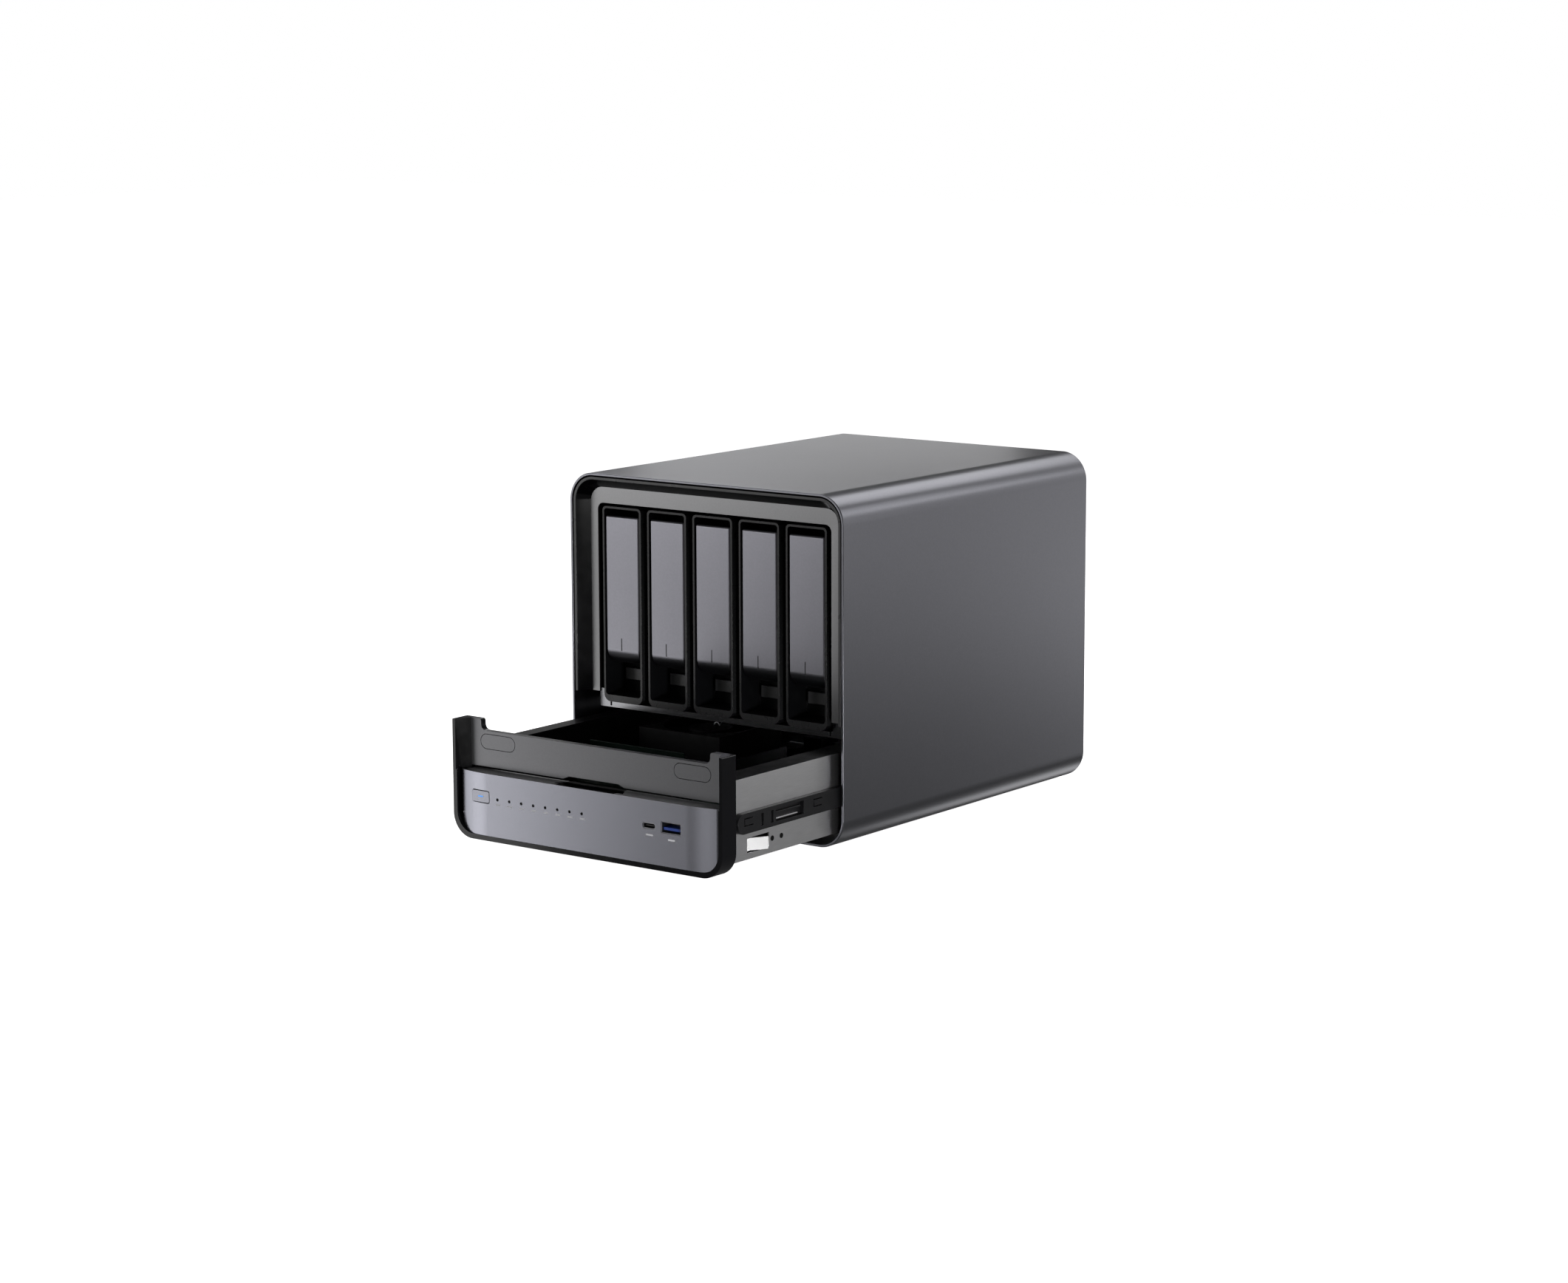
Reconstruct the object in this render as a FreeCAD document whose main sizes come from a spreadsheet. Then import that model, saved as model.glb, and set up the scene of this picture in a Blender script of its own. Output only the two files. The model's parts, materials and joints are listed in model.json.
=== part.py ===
import FreeCAD, Part
import math
import os
import re
import Sketcher

# Desktop network storage enclosure: an aluminium shell with five drive trays above a compute
# drawer, which is modelled pulled out. Millimetres, +Z up, the front faces -Y.
#
# Chassis pieces are drawn with the shell's front rim at y = 0 and its underside at z = 0.
# Drawer pieces are drawn the same way, as if the drawer were shut, and tray pieces about their
# own bay's centre line. Each sub-part's Placement then carries it to its place in the object,
# whose origin is at the middle of its footprint, on the surface that it stands on.

SIZES = {
    # outer shell
    "shell_width": 199, "shell_height": 202, "shell_depth": 252, "shell_wall": 1.5,
    "shell_radius": 17, "foot_height": 2, "foot_radius": 9, "foot_inset": 32, "foot_setback": 42,
    # front bezel, an inverted U with slanted inner walls, and its face plate
    "bezel_gap": 0.7, "bezel_lip": 1.7, "bezel_slant": 5.1, "bezel_start": 0.3, "face_back": 8.2,
    "bezel_lip_radius": 13.1, "face_radius": 9, "plate_wall": 1.5, "ear_top": 71, "bay_half": 85,
    "bay_top": 183.5, "bay_radius": 4,
    # drive cage and the guides in it
    "cage_half": 89, "cage_wall": 1, "cage_front": 13, "cage_back": 186, "cage_floor": 61,
    "cage_roof": 186, "cage_lip": 3.5, "cage_tab_top": 72, "cage_tab_start": 82.3, "slit": 1,
    "slit_place": 80, "cage_window_first": 38, "cage_window_pitch": 50, "cage_window_long": 34,
    "cage_window_low": 88, "cage_window_high": 158,
    "guide_half": 2, "guide_base": 2.6, "guide_rise": 8, "guide_front": 31,
    # drive trays
    "bay_pitch": 33.7, "tray_half": 14.45, "tray_front": 8.3, "tray_floor": 65.4,
    "tray_roof": 181.9, "tray_rim": 1.3, "tray_radius": 2.6, "tray_sill": 4.1,
    "tray_foot_radius": 4.6, "pocket_back": 26.5, "block_back": 28, "tray_back": 177,
    "rail_wall": 1.5,
    "carrier_half": 14.05, "side_wall": 1.2, "rail_low": 68.5, "rail_high": 177,
    "side_window_first": 50, "side_window_pitch": 39, "side_window_long": 30,
    "side_window_low": 99, "side_window_high": 127, "side_window_tall": 22,
    "drive_hole": 1.7, "drive_hole_y": 76.6, "drive_hole_z": 61.72, "drive_mid_y": 104,
    "drive_mid_z": 123.5,
    # tray doors and latches
    "door_half": 12.8, "door_front": 8.7, "door_thick": 2.4, "door_low": 88.6, "door_high": 176.6,
    "door_round": 1.5, "lip_tall": 5, "lip_reach": 5, "lip_thick": 2, "lip_inset": 0.4,
    "head_tall": 8, "head_back": 14.3, "hinge_y": 11.9, "hinge_z": 172, "stub": 1.5,
    "bore_clearance": 0.05, "stub_end": 14, "tick_low": 96.5, "tick_high": 103.9,
    "tick_wide": 0.6, "tick_offset": 1.15, "tick_deep": 0.6,
    "latch_half": 9.5, "latch_low": 77, "latch_high": 84, "latch_front": 22.5, "latch_thick": 2,
    "stem_half": 5, "stem_inset": 1, "stem_end": 28.4, "running_gap": 0.3,
    # backplane
    "board_thick": 1.6, "backplane_y": 184, "connector_wide": 6, "connector_tall": 42,
    "connector_deep": 6, "connector_mid": 104, "key_half": 1.2, "key_margin": 2,
    "vent_half": 6, "vent_low": 132, "vent_high": 172,
    # rear frame, panel and fans
    "rear_inset": 2, "panel_wall": 1.5, "rear_ring": 6, "rear_ring_deep": 4, "edge_gap": 0.1,
    "passage_half": 97.1, "passage_low": 8.3, "passage_high": 57, "passage_radius": 7,
    "fan_size": 80, "fan_deep": 25,
    "fan_x": 43, "fan_z": 126, "fan_bore": 38, "fan_hub": 18, "fan_shaft": 2, "fan_corner": 4,
    "fan_hole": 2.15, "fan_hole_pitch": 71.5, "motor_deep": 3, "motor_inset": 0.5,
    "strut_half": 1.5, "shaft_length": 16, "fan_blade_gap": 2.6, "fan_blade_chord": 20,
    "rotor_length": 17, "rotor_clearance": 0.5, "blade_pitch": 38, "blade_thick": 1.4, "blades": 7,
    "grille_hole": 2.4, "grille_pitch": 8.4, "grille_rows": 9, "port_low": 11, "port_high": 54,
    "screw_head": 2.7, "screw_head_tall": 1.3, "screw_shank": 1.9, "screw_reach": 3,
    "panel_screw_low": 70, "panel_screw_mid": 124, "panel_screw_high": 178,
    # compute drawer
    "drawer_out": 108.6, "drawer_half": 97.5, "drawer_floor": 2.7, "drawer_radius": 14,
    "frame_deep": 12.3, "frame_edge": 0.6, "ear_inner": 90.5, "ear_lip": 2, "ledge": 41.7,
    "panel_low": 43.7, "panel_top": 64.5, "panel_front": 8.3, "panel_thick": 4, "notch_x": 82.9,
    "notch_radius": 3.5, "ear_radius": 1.5, "back_low": 8.7, "back_high": 38.7, "back_radius": 6,
    "back_start": 6.3, "fascia_half": 94.6, "fascia_low": 5.7, "fascia_thick": 3.2,
    "fascia_radius": 12, "fascia_end": 2.8, "fit_gap": 0.1,
    "pill_outer": 83.2, "pill_inner": 57.8, "pill_low": 54.2, "pill_high": 62.5, "pill_gap": 0.3,
    "power_x": 76.85, "power_z": 28.1, "power_half": 6.5, "power_tall": 6.9, "power_radius": 1.1,
    "power_deep": 6.2, "led_start": 0.4, "led_end": 9, "led_first": 64.15, "led_pitch": 8.9,
    "led_z": 27.6, "led_hole": 0.9, "led_count": 8, "port_start": 0.3, "port_deep": 8.7,
    "port_wall": 0.4, "port_mouth": 7.9, "tongue_start": 1.2, "tongue_end": 8.6,
    "usb_c_x": 46.3, "usb_c_half": 4.5, "usb_c_tall": 3.4, "usb_c_z": 27.1,
    "usb_a_x": 61.8, "usb_a_half": 6.9, "usb_a_tall": 6.4, "usb_a_z": 27.5,
    "scoop_half": 22, "scoop_slope": 4, "scoop_rise": 1.7, "scoop_top": 42.2, "scoop_deep": 2.6,
    "front_board_left": 86, "front_board_right": 76, "front_board_y": 9, "front_board_low": 14,
    "front_board_high": 37,
    # steel drawer tray, its rails and spring tabs
    "steel_half": 93, "steel_wall": 1, "steel_low": 9.2, "steel_high": 55.2, "steel_back": 249,
    "flange_left": 10, "flange_right": 16, "button_room": 3, "rail_out": 96.6, "rail_front": 15.2,
    "rail_floor": 25, "rail_roof": 36.5, "rail_back": 246, "rail_front_radius": 5.2,
    "rail_back_radius": 2, "finger_low": 29.2, "finger_high": 33.8, "finger_long": 8.1,
    "finger_cut": 0.6, "slot_low": 27.2, "slot_high": 34.2, "slot_long": 2.2, "slot_deep": 1.6,
    "rail_window_high": 34.8, "rail_window_long": 25.5, "tray_front_lip": 12,
    "floor_slot_half": 60, "floor_slot_first": 36, "floor_slot_pitch": 8, "floor_slot_wide": 4,
    "runner_web": 0.8, "runner_front": 14, "runner_gap": 0.4, "runner_wall": 1.4,
    "tab_front": 32.3, "tab_back": 41.9, "tab_low": 13.3, "tab_high": 20.3, "tab_in": 91.2,
    "tab_lean": 5.8, "tab_thick": 0.9, "tab_foot": 2.4, "tab_foot_back": 34.5,
    "window_front": 27.8, "window_back": 47.6,
    "window_low": 12.6, "window_high": 21.2, "pin_hole": 1, "pin_hole_first": 50.6, "pin_hole_second": 59,
    "pin_hole_z": 17.2,
    # boards and modules in the drawer
    "board_x": 85, "board_right": 60, "board_front": 62, "board_back": 244, "board_z": 16,
    "board_hole": 1.6, "standoff": 2.6, "floor_screw_head": 2.8, "floor_screw_tall": 1.2,
    "sink_x": 28, "sink_y": 150, "sink_half": 34, "sink_low": 19.4, "sink_base": 3,
    "sink_foot": 16, "fin_top": 37, "fin_wall": 1, "fin_pitch": 4, "fin_count": 17,
    "cooler_size": 60, "cooler_deep": 15, "cooler_bore": 28, "cooler_hub": 13,
    "cooler_motor": 2, "cooler_shaft": 10, "cooler_strut_half": 1.5, "cooler_blade_gap": 2,
    "cooler_blade_chord": 9, "cooler_rotor_start": 39.5, "cooler_rotor_length": 11,
    "memory_first": 74, "memory_pitch": 12.5, "memory_left": 72, "memory_right": 2,
    "memory_inset": 2, "memory_socket_deep": 7, "memory_socket_tall": 5, "memory_tall": 30,
    "memory_start": 2.4, "memory_end": 3.6,
    "ssd_half": 11, "ssd_front": 104, "ssd_back": 181, "ssd_socket_front": 180,
    "ssd_socket_back": 187, "ssd_low": 2, "ssd_high": 4, "ssd_post": 2.5, "ssd_post_y": 106,
    "shield_y": 247, "shield_left": 88, "shield_right": 58, "shield_wall": 1,
    "port_back_wall": 2, "port_shell_wall": 0.7, "port_shell_deep": 14, "tongue_margin": 2.5,
    "tongue_half": 0.6, "shield_vent_first": 80, "shield_vent_pitch": 6, "shield_vent_wide": 3,
    "shield_vent_low": 20, "shield_vent_high": 32, "shield_vent_count": 22,
    "inlet_x": 70, "inlet_z": 28, "inlet_half": 5.5, "inlet_top": 33.5, "inlet_nose": 5,
    "inlet_mouth": 3.6, "inlet_pin": 1, "inlet_deep": 10,
    "dock_x": 74, "dock_z": 30, "dock_half": 11, "dock_face": 240, "dock_tall": 8,
    "dock_slot_margin": 2.5, "dock_slot_half": 4.5, "dock_slot_deep": 5, "dock_post_deep": 8,
    "dock_nose_margin": 3, "dock_nose_half": 4, "dock_nose_deep": 4,
}

doc = FreeCAD.newDocument("StorageEnclosure")
sheet = doc.addObject("Spreadsheet::Sheet", "Sizes")
for row, (alias, size) in enumerate(SIZES.items(), start=1):
    sheet.set("A%d" % row, alias)
    sheet.set("B%d" % row, str(size))
    sheet.setAlias("B%d" % row, alias)
doc.recompute()

WORD = re.compile(r"[a-z][a-z_0-9]*")
nodes = []


# ---------------------------------------------------------------- formulas and placements

def formula(text):
    """The expression with each of the sheet's names given its sheet."""
    return WORD.sub(lambda word: "Sizes." + word.group() if word.group() in SIZES else word.group(),
                    str(text))


def amount(text):
    """The number that a formula stands for now."""
    return float(sheet.evalExpression(formula(text)))


def bind(item, prop, text):
    item.setExpression(prop, formula(text))


def bind_base(item, x="0", y="0", z="0", prop="Placement"):
    bind(item, prop + ".Base.x", x)
    bind(item, prop + ".Base.y", y)
    bind(item, prop + ".Base.z", z)


SHELL_FRONT = "-(shell_depth - drawer_out) / 2"


def node(label, item, x="0", in_drawer=False):
    """Names a finished sub-part and carries it from its drawing frame to its place."""
    item.Label = label
    y = SHELL_FRONT + " - drawer_out" if in_drawer else SHELL_FRONT
    bind_base(item, x, y, "foot_height")
    nodes.append(item)
    return item


# ---------------------------------------------------------------- primitives and booleans

def block(x, y, z):
    """A box between pairs of formulas (low, high) along each axis."""
    item = doc.addObject("Part::Box", "Block")
    bind(item, "Length", "(%s) - (%s)" % (x[1], x[0]))
    bind(item, "Width", "(%s) - (%s)" % (y[1], y[0]))
    bind(item, "Height", "(%s) - (%s)" % (z[1], z[0]))
    bind_base(item, x[0], y[0], z[0])
    return item


TURNS = {
    "x": FreeCAD.Rotation(FreeCAD.Vector(0, 1, 0), 90),
    "y": FreeCAD.Rotation(FreeCAD.Vector(1, 0, 0), -90),
    "z": FreeCAD.Rotation(),
}


def rod(axis, at, radius, length):
    """A cylinder that starts at a point (formulas) and runs along +axis."""
    item = doc.addObject("Part::Cylinder", "Rod")
    item.Placement.Rotation = TURNS[axis]
    bind(item, "Radius", radius)
    bind(item, "Height", length)
    bind_base(item, *at)
    return item


def joined(*items):
    item = doc.addObject("Part::MultiFuse", "Joined")
    item.Shapes = list(items)
    item.Refine = True
    return item


def grouped(*items):
    item = doc.addObject("Part::Compound", "Group")
    item.Links = list(items)
    return item


def cut(base, *tools):
    item = doc.addObject("Part::Cut", "Cut")
    item.Base = base
    item.Tool = tools[0] if len(tools) == 1 else joined(*tools)
    item.Refine = True
    return item


# ---------------------------------------------------------------- bodies and sketches

def new_body():
    return doc.addObject("PartDesign::Body", "Body")


def origin_plane(body, role):
    return next(item for item in body.Origin.OriginFeatures if item.Role == role)


def new_sketch(body, role, at):
    """A sketch on one of the body's planes. An XZ sketch lies at y = at, looking along -Y."""
    sketch = body.newObject("Sketcher::SketchObject", "Outline")
    sketch.AttachmentSupport = (origin_plane(body, role), [""])
    sketch.MapMode = "FlatFace"
    bind(sketch, "AttachmentOffset.Base.z", "-(%s)" % at if role == "XZ_Plane" else at)
    return sketch


def place_point(sketch, geometry, point, x, y):
    """Dimensions a point of the sketch from its origin."""
    for kind, text in (("DistanceX", x), ("DistanceY", y)):
        index = sketch.addConstraint(
            Sketcher.Constraint(kind, -1, 1, geometry, point, amount(text)))
        bind(sketch, "Constraints[%d]" % index, text)


def round_corner(before, corner, after, radius):
    """The arc that rounds a corner, with the points where it meets the two sides."""
    to_before = (before - corner).normalize()
    to_after = (after - corner).normalize()
    half_angle = to_before.getAngle(to_after) / 2
    leg = radius / math.tan(half_angle)
    centre = corner + (to_before + to_after).normalize() * (radius / math.sin(half_angle))
    middle = centre + (corner - centre).normalize() * radius
    first, last = corner + to_before * leg, corner + to_after * leg
    return first, last, Part.Arc(first, middle, last)


def outline(body, role, corners, at="0", sketch=None):
    """A closed outline through corners (x, y, radius), each a formula; a radius of 0 is sharp."""
    sketch = sketch or new_sketch(body, role, at)
    points = [FreeCAD.Vector(amount(x), amount(y), 0) for x, y, radius in corners]
    radii = [amount(radius) for x, y, radius in corners]
    count = len(points)
    ends = []
    for index, point in enumerate(points):
        if radii[index] == 0:
            ends.append((point, point, None))
        else:
            before, after = points[index - 1], points[(index + 1) % count]
            ends.append(round_corner(before, point, after, radii[index]))
    lines = [sketch.addGeometry(Part.LineSegment(ends[index][1], ends[(index + 1) % count][0]))
             for index in range(count)]
    for index, (x, y, radius) in enumerate(corners):
        line_in, line_out = lines[index - 1], lines[index]
        if radii[index] == 0:
            sketch.addConstraint(Sketcher.Constraint("Coincident", line_in, 2, line_out, 1))
            place_point(sketch, line_out, 1, x, y)
            continue
        first, last, curve = ends[index]
        arc = sketch.addGeometry(curve)
        starts_first = sketch.getPoint(arc, 1).distanceToPoint(first) < 1e-6
        arc_in, arc_out = (1, 2) if starts_first else (2, 1)
        corner = sketch.addGeometry(Part.Point(points[index]), True)
        sketch.addConstraint(Sketcher.Constraint("PointOnObject", corner, 1, line_in))
        sketch.addConstraint(Sketcher.Constraint("PointOnObject", corner, 1, line_out))
        place_point(sketch, corner, 1, x, y)
        sketch.addConstraint(Sketcher.Constraint("Tangent", line_in, 2, arc, arc_in))
        sketch.addConstraint(Sketcher.Constraint("Tangent", arc, arc_out, line_out, 1))
        index_radius = sketch.addConstraint(Sketcher.Constraint("Radius", arc, radii[index]))
        bind(sketch, "Constraints[%d]" % index_radius, radius)
    return sketch


def rectangle(x, y, radius="0", top_radius=None):
    """Corners of a rectangle between (low, high) pairs; top_radius rounds the upper two."""
    top = radius if top_radius is None else top_radius
    return [(x[0], y[0], radius), (x[1], y[0], radius), (x[1], y[1], top), (x[0], y[1], top)]


def circle(body, role, x, y, radius, at="0", sketch=None):
    sketch = sketch or new_sketch(body, role, at)
    centre = FreeCAD.Vector(amount(x), amount(y), 0)
    geometry = sketch.addGeometry(
        Part.Circle(centre, FreeCAD.Vector(0, 0, 1), amount(radius)))
    place_point(sketch, geometry, 3, x, y)
    index = sketch.addConstraint(Sketcher.Constraint("Radius", geometry, amount(radius)))
    bind(sketch, "Constraints[%d]" % index, radius)
    return sketch


def pad(body, sketch, length, backward=True):
    """Adds the outline's prism. From an XZ sketch it runs towards +Y while backward is true."""
    feature = body.newObject("PartDesign::Pad", "Pad")
    feature.Profile = sketch
    feature.Reversed = backward
    bind(feature, "Length", length)
    return feature


def pocket(body, sketch, length=None, forward=False):
    """Cuts the outline's prism. From an XZ sketch it runs towards +Y unless forward is true."""
    feature = body.newObject("PartDesign::Pocket", "Pocket")
    feature.Profile = sketch
    feature.Reversed = forward
    if length is None:
        feature.Type = "ThroughAll"
    else:
        bind(feature, "Length", length)
    return feature


def loft_cut(body, front, back):
    feature = body.newObject("PartDesign::SubtractiveLoft", "SlantedWalls")
    feature.Profile = front
    feature.Sections = [back]
    feature.Ruled = True
    return feature


def repeated(first, pitch, index):
    """A formula for the place of one of a row of equal features."""
    return "%s + %d * %s" % (first, index, pitch)


def mirrored_range(side, low, high):
    """An x range on the right (side 1), or the same range on the left (side -1)."""
    return (low, high) if side > 0 else ("-(%s)" % high, "-(%s)" % low)


# ---------------------------------------------------------------- shell and bezel

INNER_HALF = "shell_width / 2 - shell_wall"
INNER_TOP = "shell_height - shell_wall"
BEZEL_HALF = "shell_width / 2 - shell_wall - bezel_gap"
BEZEL_TOP = "shell_height - shell_wall - bezel_gap"


def outer_shell():
    body = new_body()
    half = "shell_width / 2"
    outer = outline(body, "XZ_Plane",
                    rectangle(("-(%s)" % half, half), ("0", "shell_height"), "shell_radius"))
    pad(body, outer, "shell_depth")
    inner = outline(body, "XZ_Plane",
                    rectangle(("-(%s)" % INNER_HALF, INNER_HALF), ("shell_wall", INNER_TOP),
                              "shell_radius - shell_wall"))
    pocket(body, inner)
    node("outer_shell", body)


def front_bezel():
    body = new_body()
    depth = "face_back + plate_wall - bezel_start"
    outer = outline(body, "XZ_Plane",
                    rectangle(("-(%s)" % BEZEL_HALF, BEZEL_HALF), ("ear_top", BEZEL_TOP), "0",
                              "shell_radius - shell_wall - bezel_gap"), at="bezel_start")
    pad(body, outer, depth)
    sections = []
    for at, inset, radius in (("bezel_start", "bezel_lip", "bezel_lip_radius"),
                              ("face_back", "bezel_lip + bezel_slant", "face_radius")):
        half = "%s - (%s)" % (BEZEL_HALF, inset)
        top = "%s - (%s)" % (BEZEL_TOP, inset)
        sections.append(outline(body, "XZ_Plane",
                                rectangle(("-(%s)" % half, half), ("ear_top - 5", top), "0",
                                          radius), at=at))
    loft_cut(body, *sections)
    opening = outline(body, "XZ_Plane",
                      rectangle(("-bay_half", "bay_half"), ("ear_top - 5", "bay_top"), "0",
                                "bay_radius"), at="0")
    pocket(body, opening)
    node("front_bezel", body)


def rubber_feet():
    feet = []
    for x in ("-(shell_width / 2 - foot_inset)", "shell_width / 2 - foot_inset"):
        for y in ("foot_setback", "shell_depth - foot_setback"):
            feet.append(rod("z", (x, y, "-foot_height"), "foot_radius", "foot_height"))
    node("rubber_feet", grouped(*feet))


# ---------------------------------------------------------------- drive cage and backplane

BAYS = (-2, -1, 0, 1, 2)

def drive_cage():
    outer = block(("-cage_half", "cage_half"), ("cage_front", "cage_back"),
                  ("cage_floor", "cage_roof"))
    inner = block(("-cage_half + cage_wall", "cage_half - cage_wall"),
                  ("cage_front - 1", "cage_back + 1"),
                  ("cage_floor + cage_wall", "cage_roof - cage_wall"))
    lip = block(("-cage_half + cage_wall", "cage_half - cage_wall"),
                ("cage_front", "cage_front + cage_wall"),
                ("cage_floor + cage_wall", "cage_floor + cage_lip"))
    tabs = [block(mirrored_range(side, "cage_tab_start", "cage_half - cage_wall"),
                  ("cage_front", "cage_front + cage_wall"),
                  ("cage_floor + cage_wall", "cage_tab_top")) for side in (-1, 1)]
    slits = [block(mirrored_range(side, "slit_place", "slit_place + slit"),
                   ("cage_front - 1", "cage_front + cage_wall"),
                   ("cage_floor + cage_wall", "cage_floor + cage_lip + 1")) for side in (-1, 1)]
    windows = []
    for index in range(3):
        start = repeated("cage_window_first", "cage_window_pitch", index)
        windows.append(block(("-cage_half - 1", "cage_half + 1"),
                             (start, start + " + cage_window_long"),
                             ("cage_window_low", "cage_window_high")))
    frame = joined(cut(outer, inner), lip, *tabs)
    node("drive_cage", cut(frame, *slits, *windows))


def bay_guides():
    """Two slotted plates, one below and one above the trays, with a rib between each pair."""
    inner = "cage_half - cage_wall"
    low = "cage_floor + cage_wall"
    high = "cage_roof - cage_wall"
    lower = [block(("-(%s)" % inner, inner), ("cage_front + cage_wall", "tray_back"),
                   (low, low + " + guide_base"))]
    upper = [block(("-(%s)" % inner, inner), ("cage_front + cage_wall", "tray_back"),
                   (high + " - guide_base", high))]
    for gap in (-1.5, -0.5, 0.5, 1.5):
        x = ("%s * bay_pitch - guide_half" % gap, "%s * bay_pitch + guide_half" % gap)
        y = ("guide_front", "tray_back")
        lower.append(block(x, y, (low, low + " + guide_rise")))
        upper.append(block(x, y, (high + " - guide_rise", high)))
    for side in (-1, 1):
        x = mirrored_range(side, "2 * bay_pitch + carrier_half + running_gap", inner)
        y = ("guide_front", "tray_back")
        lower.append(block(x, y, (low, low + " + guide_rise")))
        upper.append(block(x, y, (high + " - guide_rise", high)))
    node("bay_guides", grouped(joined(*lower), joined(*upper)))


def sata_backplane():
    inner = "cage_half - cage_wall"
    board = block(("-(%s)" % inner, inner), ("backplane_y", "backplane_y + board_thick"),
                  ("cage_floor + cage_wall", "cage_roof - cage_wall"))
    vents = [block(("%d * bay_pitch - vent_half" % bay, "%d * bay_pitch + vent_half" % bay),
                   ("backplane_y - 1", "backplane_y + board_thick + 1"),
                   ("vent_low", "vent_high")) for bay in BAYS]
    node("sata_backplane", cut(board, *vents))


def sata_connectors():
    """A connector per bay: a tall body with the slot that takes a drive's edge."""
    connectors = []
    for bay in BAYS:
        middle = "%d * bay_pitch" % bay
        shell = block((middle + " - connector_wide / 2", middle + " + connector_wide / 2"),
                      ("backplane_y - connector_deep", "backplane_y"),
                      ("connector_mid - connector_tall / 2", "connector_mid + connector_tall / 2"))
        slot = block((middle + " - key_half", middle + " + key_half"),
                     ("backplane_y - connector_deep - 1", "backplane_y - key_margin"),
                     ("connector_mid - connector_tall / 2 + key_margin",
                      "connector_mid + connector_tall / 2 - key_margin"))
        connectors.append(cut(shell, slot))
    node("sata_connectors", grouped(*connectors))


# ---------------------------------------------------------------- drive trays

def tray_carrier(number, x):
    """The front block with its finger pocket, and the cradle that holds a drive behind it."""
    body = new_body()
    half = "tray_half"
    outer = outline(body, "XZ_Plane", [
        ("-" + half, "tray_floor", "tray_foot_radius"), (half, "tray_floor", "tray_foot_radius"),
        (half, "tray_roof", "tray_radius"), ("-" + half, "tray_roof", "tray_radius")],
        at="tray_front")
    pad(body, outer, "block_back - tray_front")
    inner = "tray_half - tray_rim"
    hollow = outline(body, "XZ_Plane",
                     rectangle(("-(%s)" % inner, inner),
                               ("tray_floor + tray_sill", "tray_roof - tray_rim"),
                               "tray_radius - 0.8"), at="tray_front")
    pocket(body, hollow, "pocket_back - tray_front")
    stem = outline(body, "XZ_Plane",
                   rectangle(("-stem_half - running_gap", "stem_half + running_gap"),
                             ("latch_low + stem_inset - running_gap",
                              "latch_high - stem_inset + running_gap")),
                   at="pocket_back - 1")
    pocket(body, stem)
    bores = circle(body, "YZ_Plane", "hinge_y", "hinge_z", "stub + bore_clearance",
                   at="-tray_half - 1")
    pocket(body, bores, "2 * tray_half + 2", forward=True)
    cradle_y = ("block_back - 0.5", "tray_back")
    side = block(("-carrier_half", "-carrier_half + side_wall"), cradle_y,
                 ("rail_low", "rail_high + rail_wall"))
    low = block(("-carrier_half", "carrier_half"), cradle_y, ("rail_low", "rail_low + rail_wall"))
    high = block(("-carrier_half", "carrier_half"), cradle_y,
                 ("rail_high", "rail_high + rail_wall"))
    tools = []
    for index in range(3):
        start = repeated("side_window_first", "side_window_pitch", index)
        for bottom in ("side_window_low", "side_window_high"):
            tools.append(block(("-carrier_half - 1", "-carrier_half + side_wall + 1"),
                               (start, start + " + side_window_long"),
                               (bottom, bottom + " + side_window_tall")))
    for y in ("drive_mid_y - drive_hole_y / 2", "drive_mid_y + drive_hole_y / 2"):
        for z in ("drive_mid_z - drive_hole_z / 2", "drive_mid_z + drive_hole_z / 2"):
            tools.append(rod("x", ("-carrier_half - 1", y, z), "drive_hole", "side_wall + 2"))
    cradle = cut(joined(side, low, high), *tools)
    node("tray_%d_carrier" % number, joined(body, cradle), x)


def tray_door(number, x):
    """The lever door: a plate with rounded edges, a curled lower lip and two pivot stubs."""
    body = new_body()
    front, back = "door_front", "door_front + door_thick"
    plate = outline(body, "XY_Plane", [
        ("-door_half", front, "door_round"), ("door_half", front, "door_round"),
        ("door_half", back, "0"), ("-door_half", back, "0")], at="door_low + lip_tall")
    pad(body, plate, "door_high - door_low - lip_tall", backward=False)
    lip = outline(body, "YZ_Plane", [
        (front, "door_low", "3"), (front + " + lip_reach", "door_low", "0.9"),
        (front + " + lip_reach", "door_low + lip_thick", "0.9"),
        (back, "door_low + lip_tall - 0.5", "1"), (back, "door_low + lip_tall", "0"),
        (front, "door_low + lip_tall", "0")], at="-door_half + lip_inset")
    pad(body, lip, "2 * (door_half - lip_inset)", backward=False)
    head = outline(body, "YZ_Plane",
                   rectangle((back + " - lip_inset", "head_back"),
                             ("door_high - head_tall", "door_high"), "1"), at="-door_half")
    pad(body, head, "2 * door_half", backward=False)
    tick = outline(body, "XZ_Plane",
                   rectangle(("-tick_offset - tick_wide / 2", "-tick_offset + tick_wide / 2"),
                             ("tick_low", "tick_high")), at="door_front - 1")
    pocket(body, tick, "tick_deep + 1")
    stubs = circle(body, "YZ_Plane", "hinge_y", "hinge_z", "stub", at="-stub_end")
    pad(body, stubs, "2 * stub_end", backward=False)
    node("tray_%d_door" % number, body, x)


def tray_latch(number, x):
    plate = block(("-latch_half", "latch_half"), ("latch_front", "latch_front + latch_thick"),
                  ("latch_low", "latch_high"))
    stem = block(("-stem_half", "stem_half"), ("latch_front + latch_thick", "stem_end"),
                 ("latch_low + stem_inset", "latch_high - stem_inset"))
    node("tray_%d_latch" % number, joined(plate, stem), x)


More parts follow.
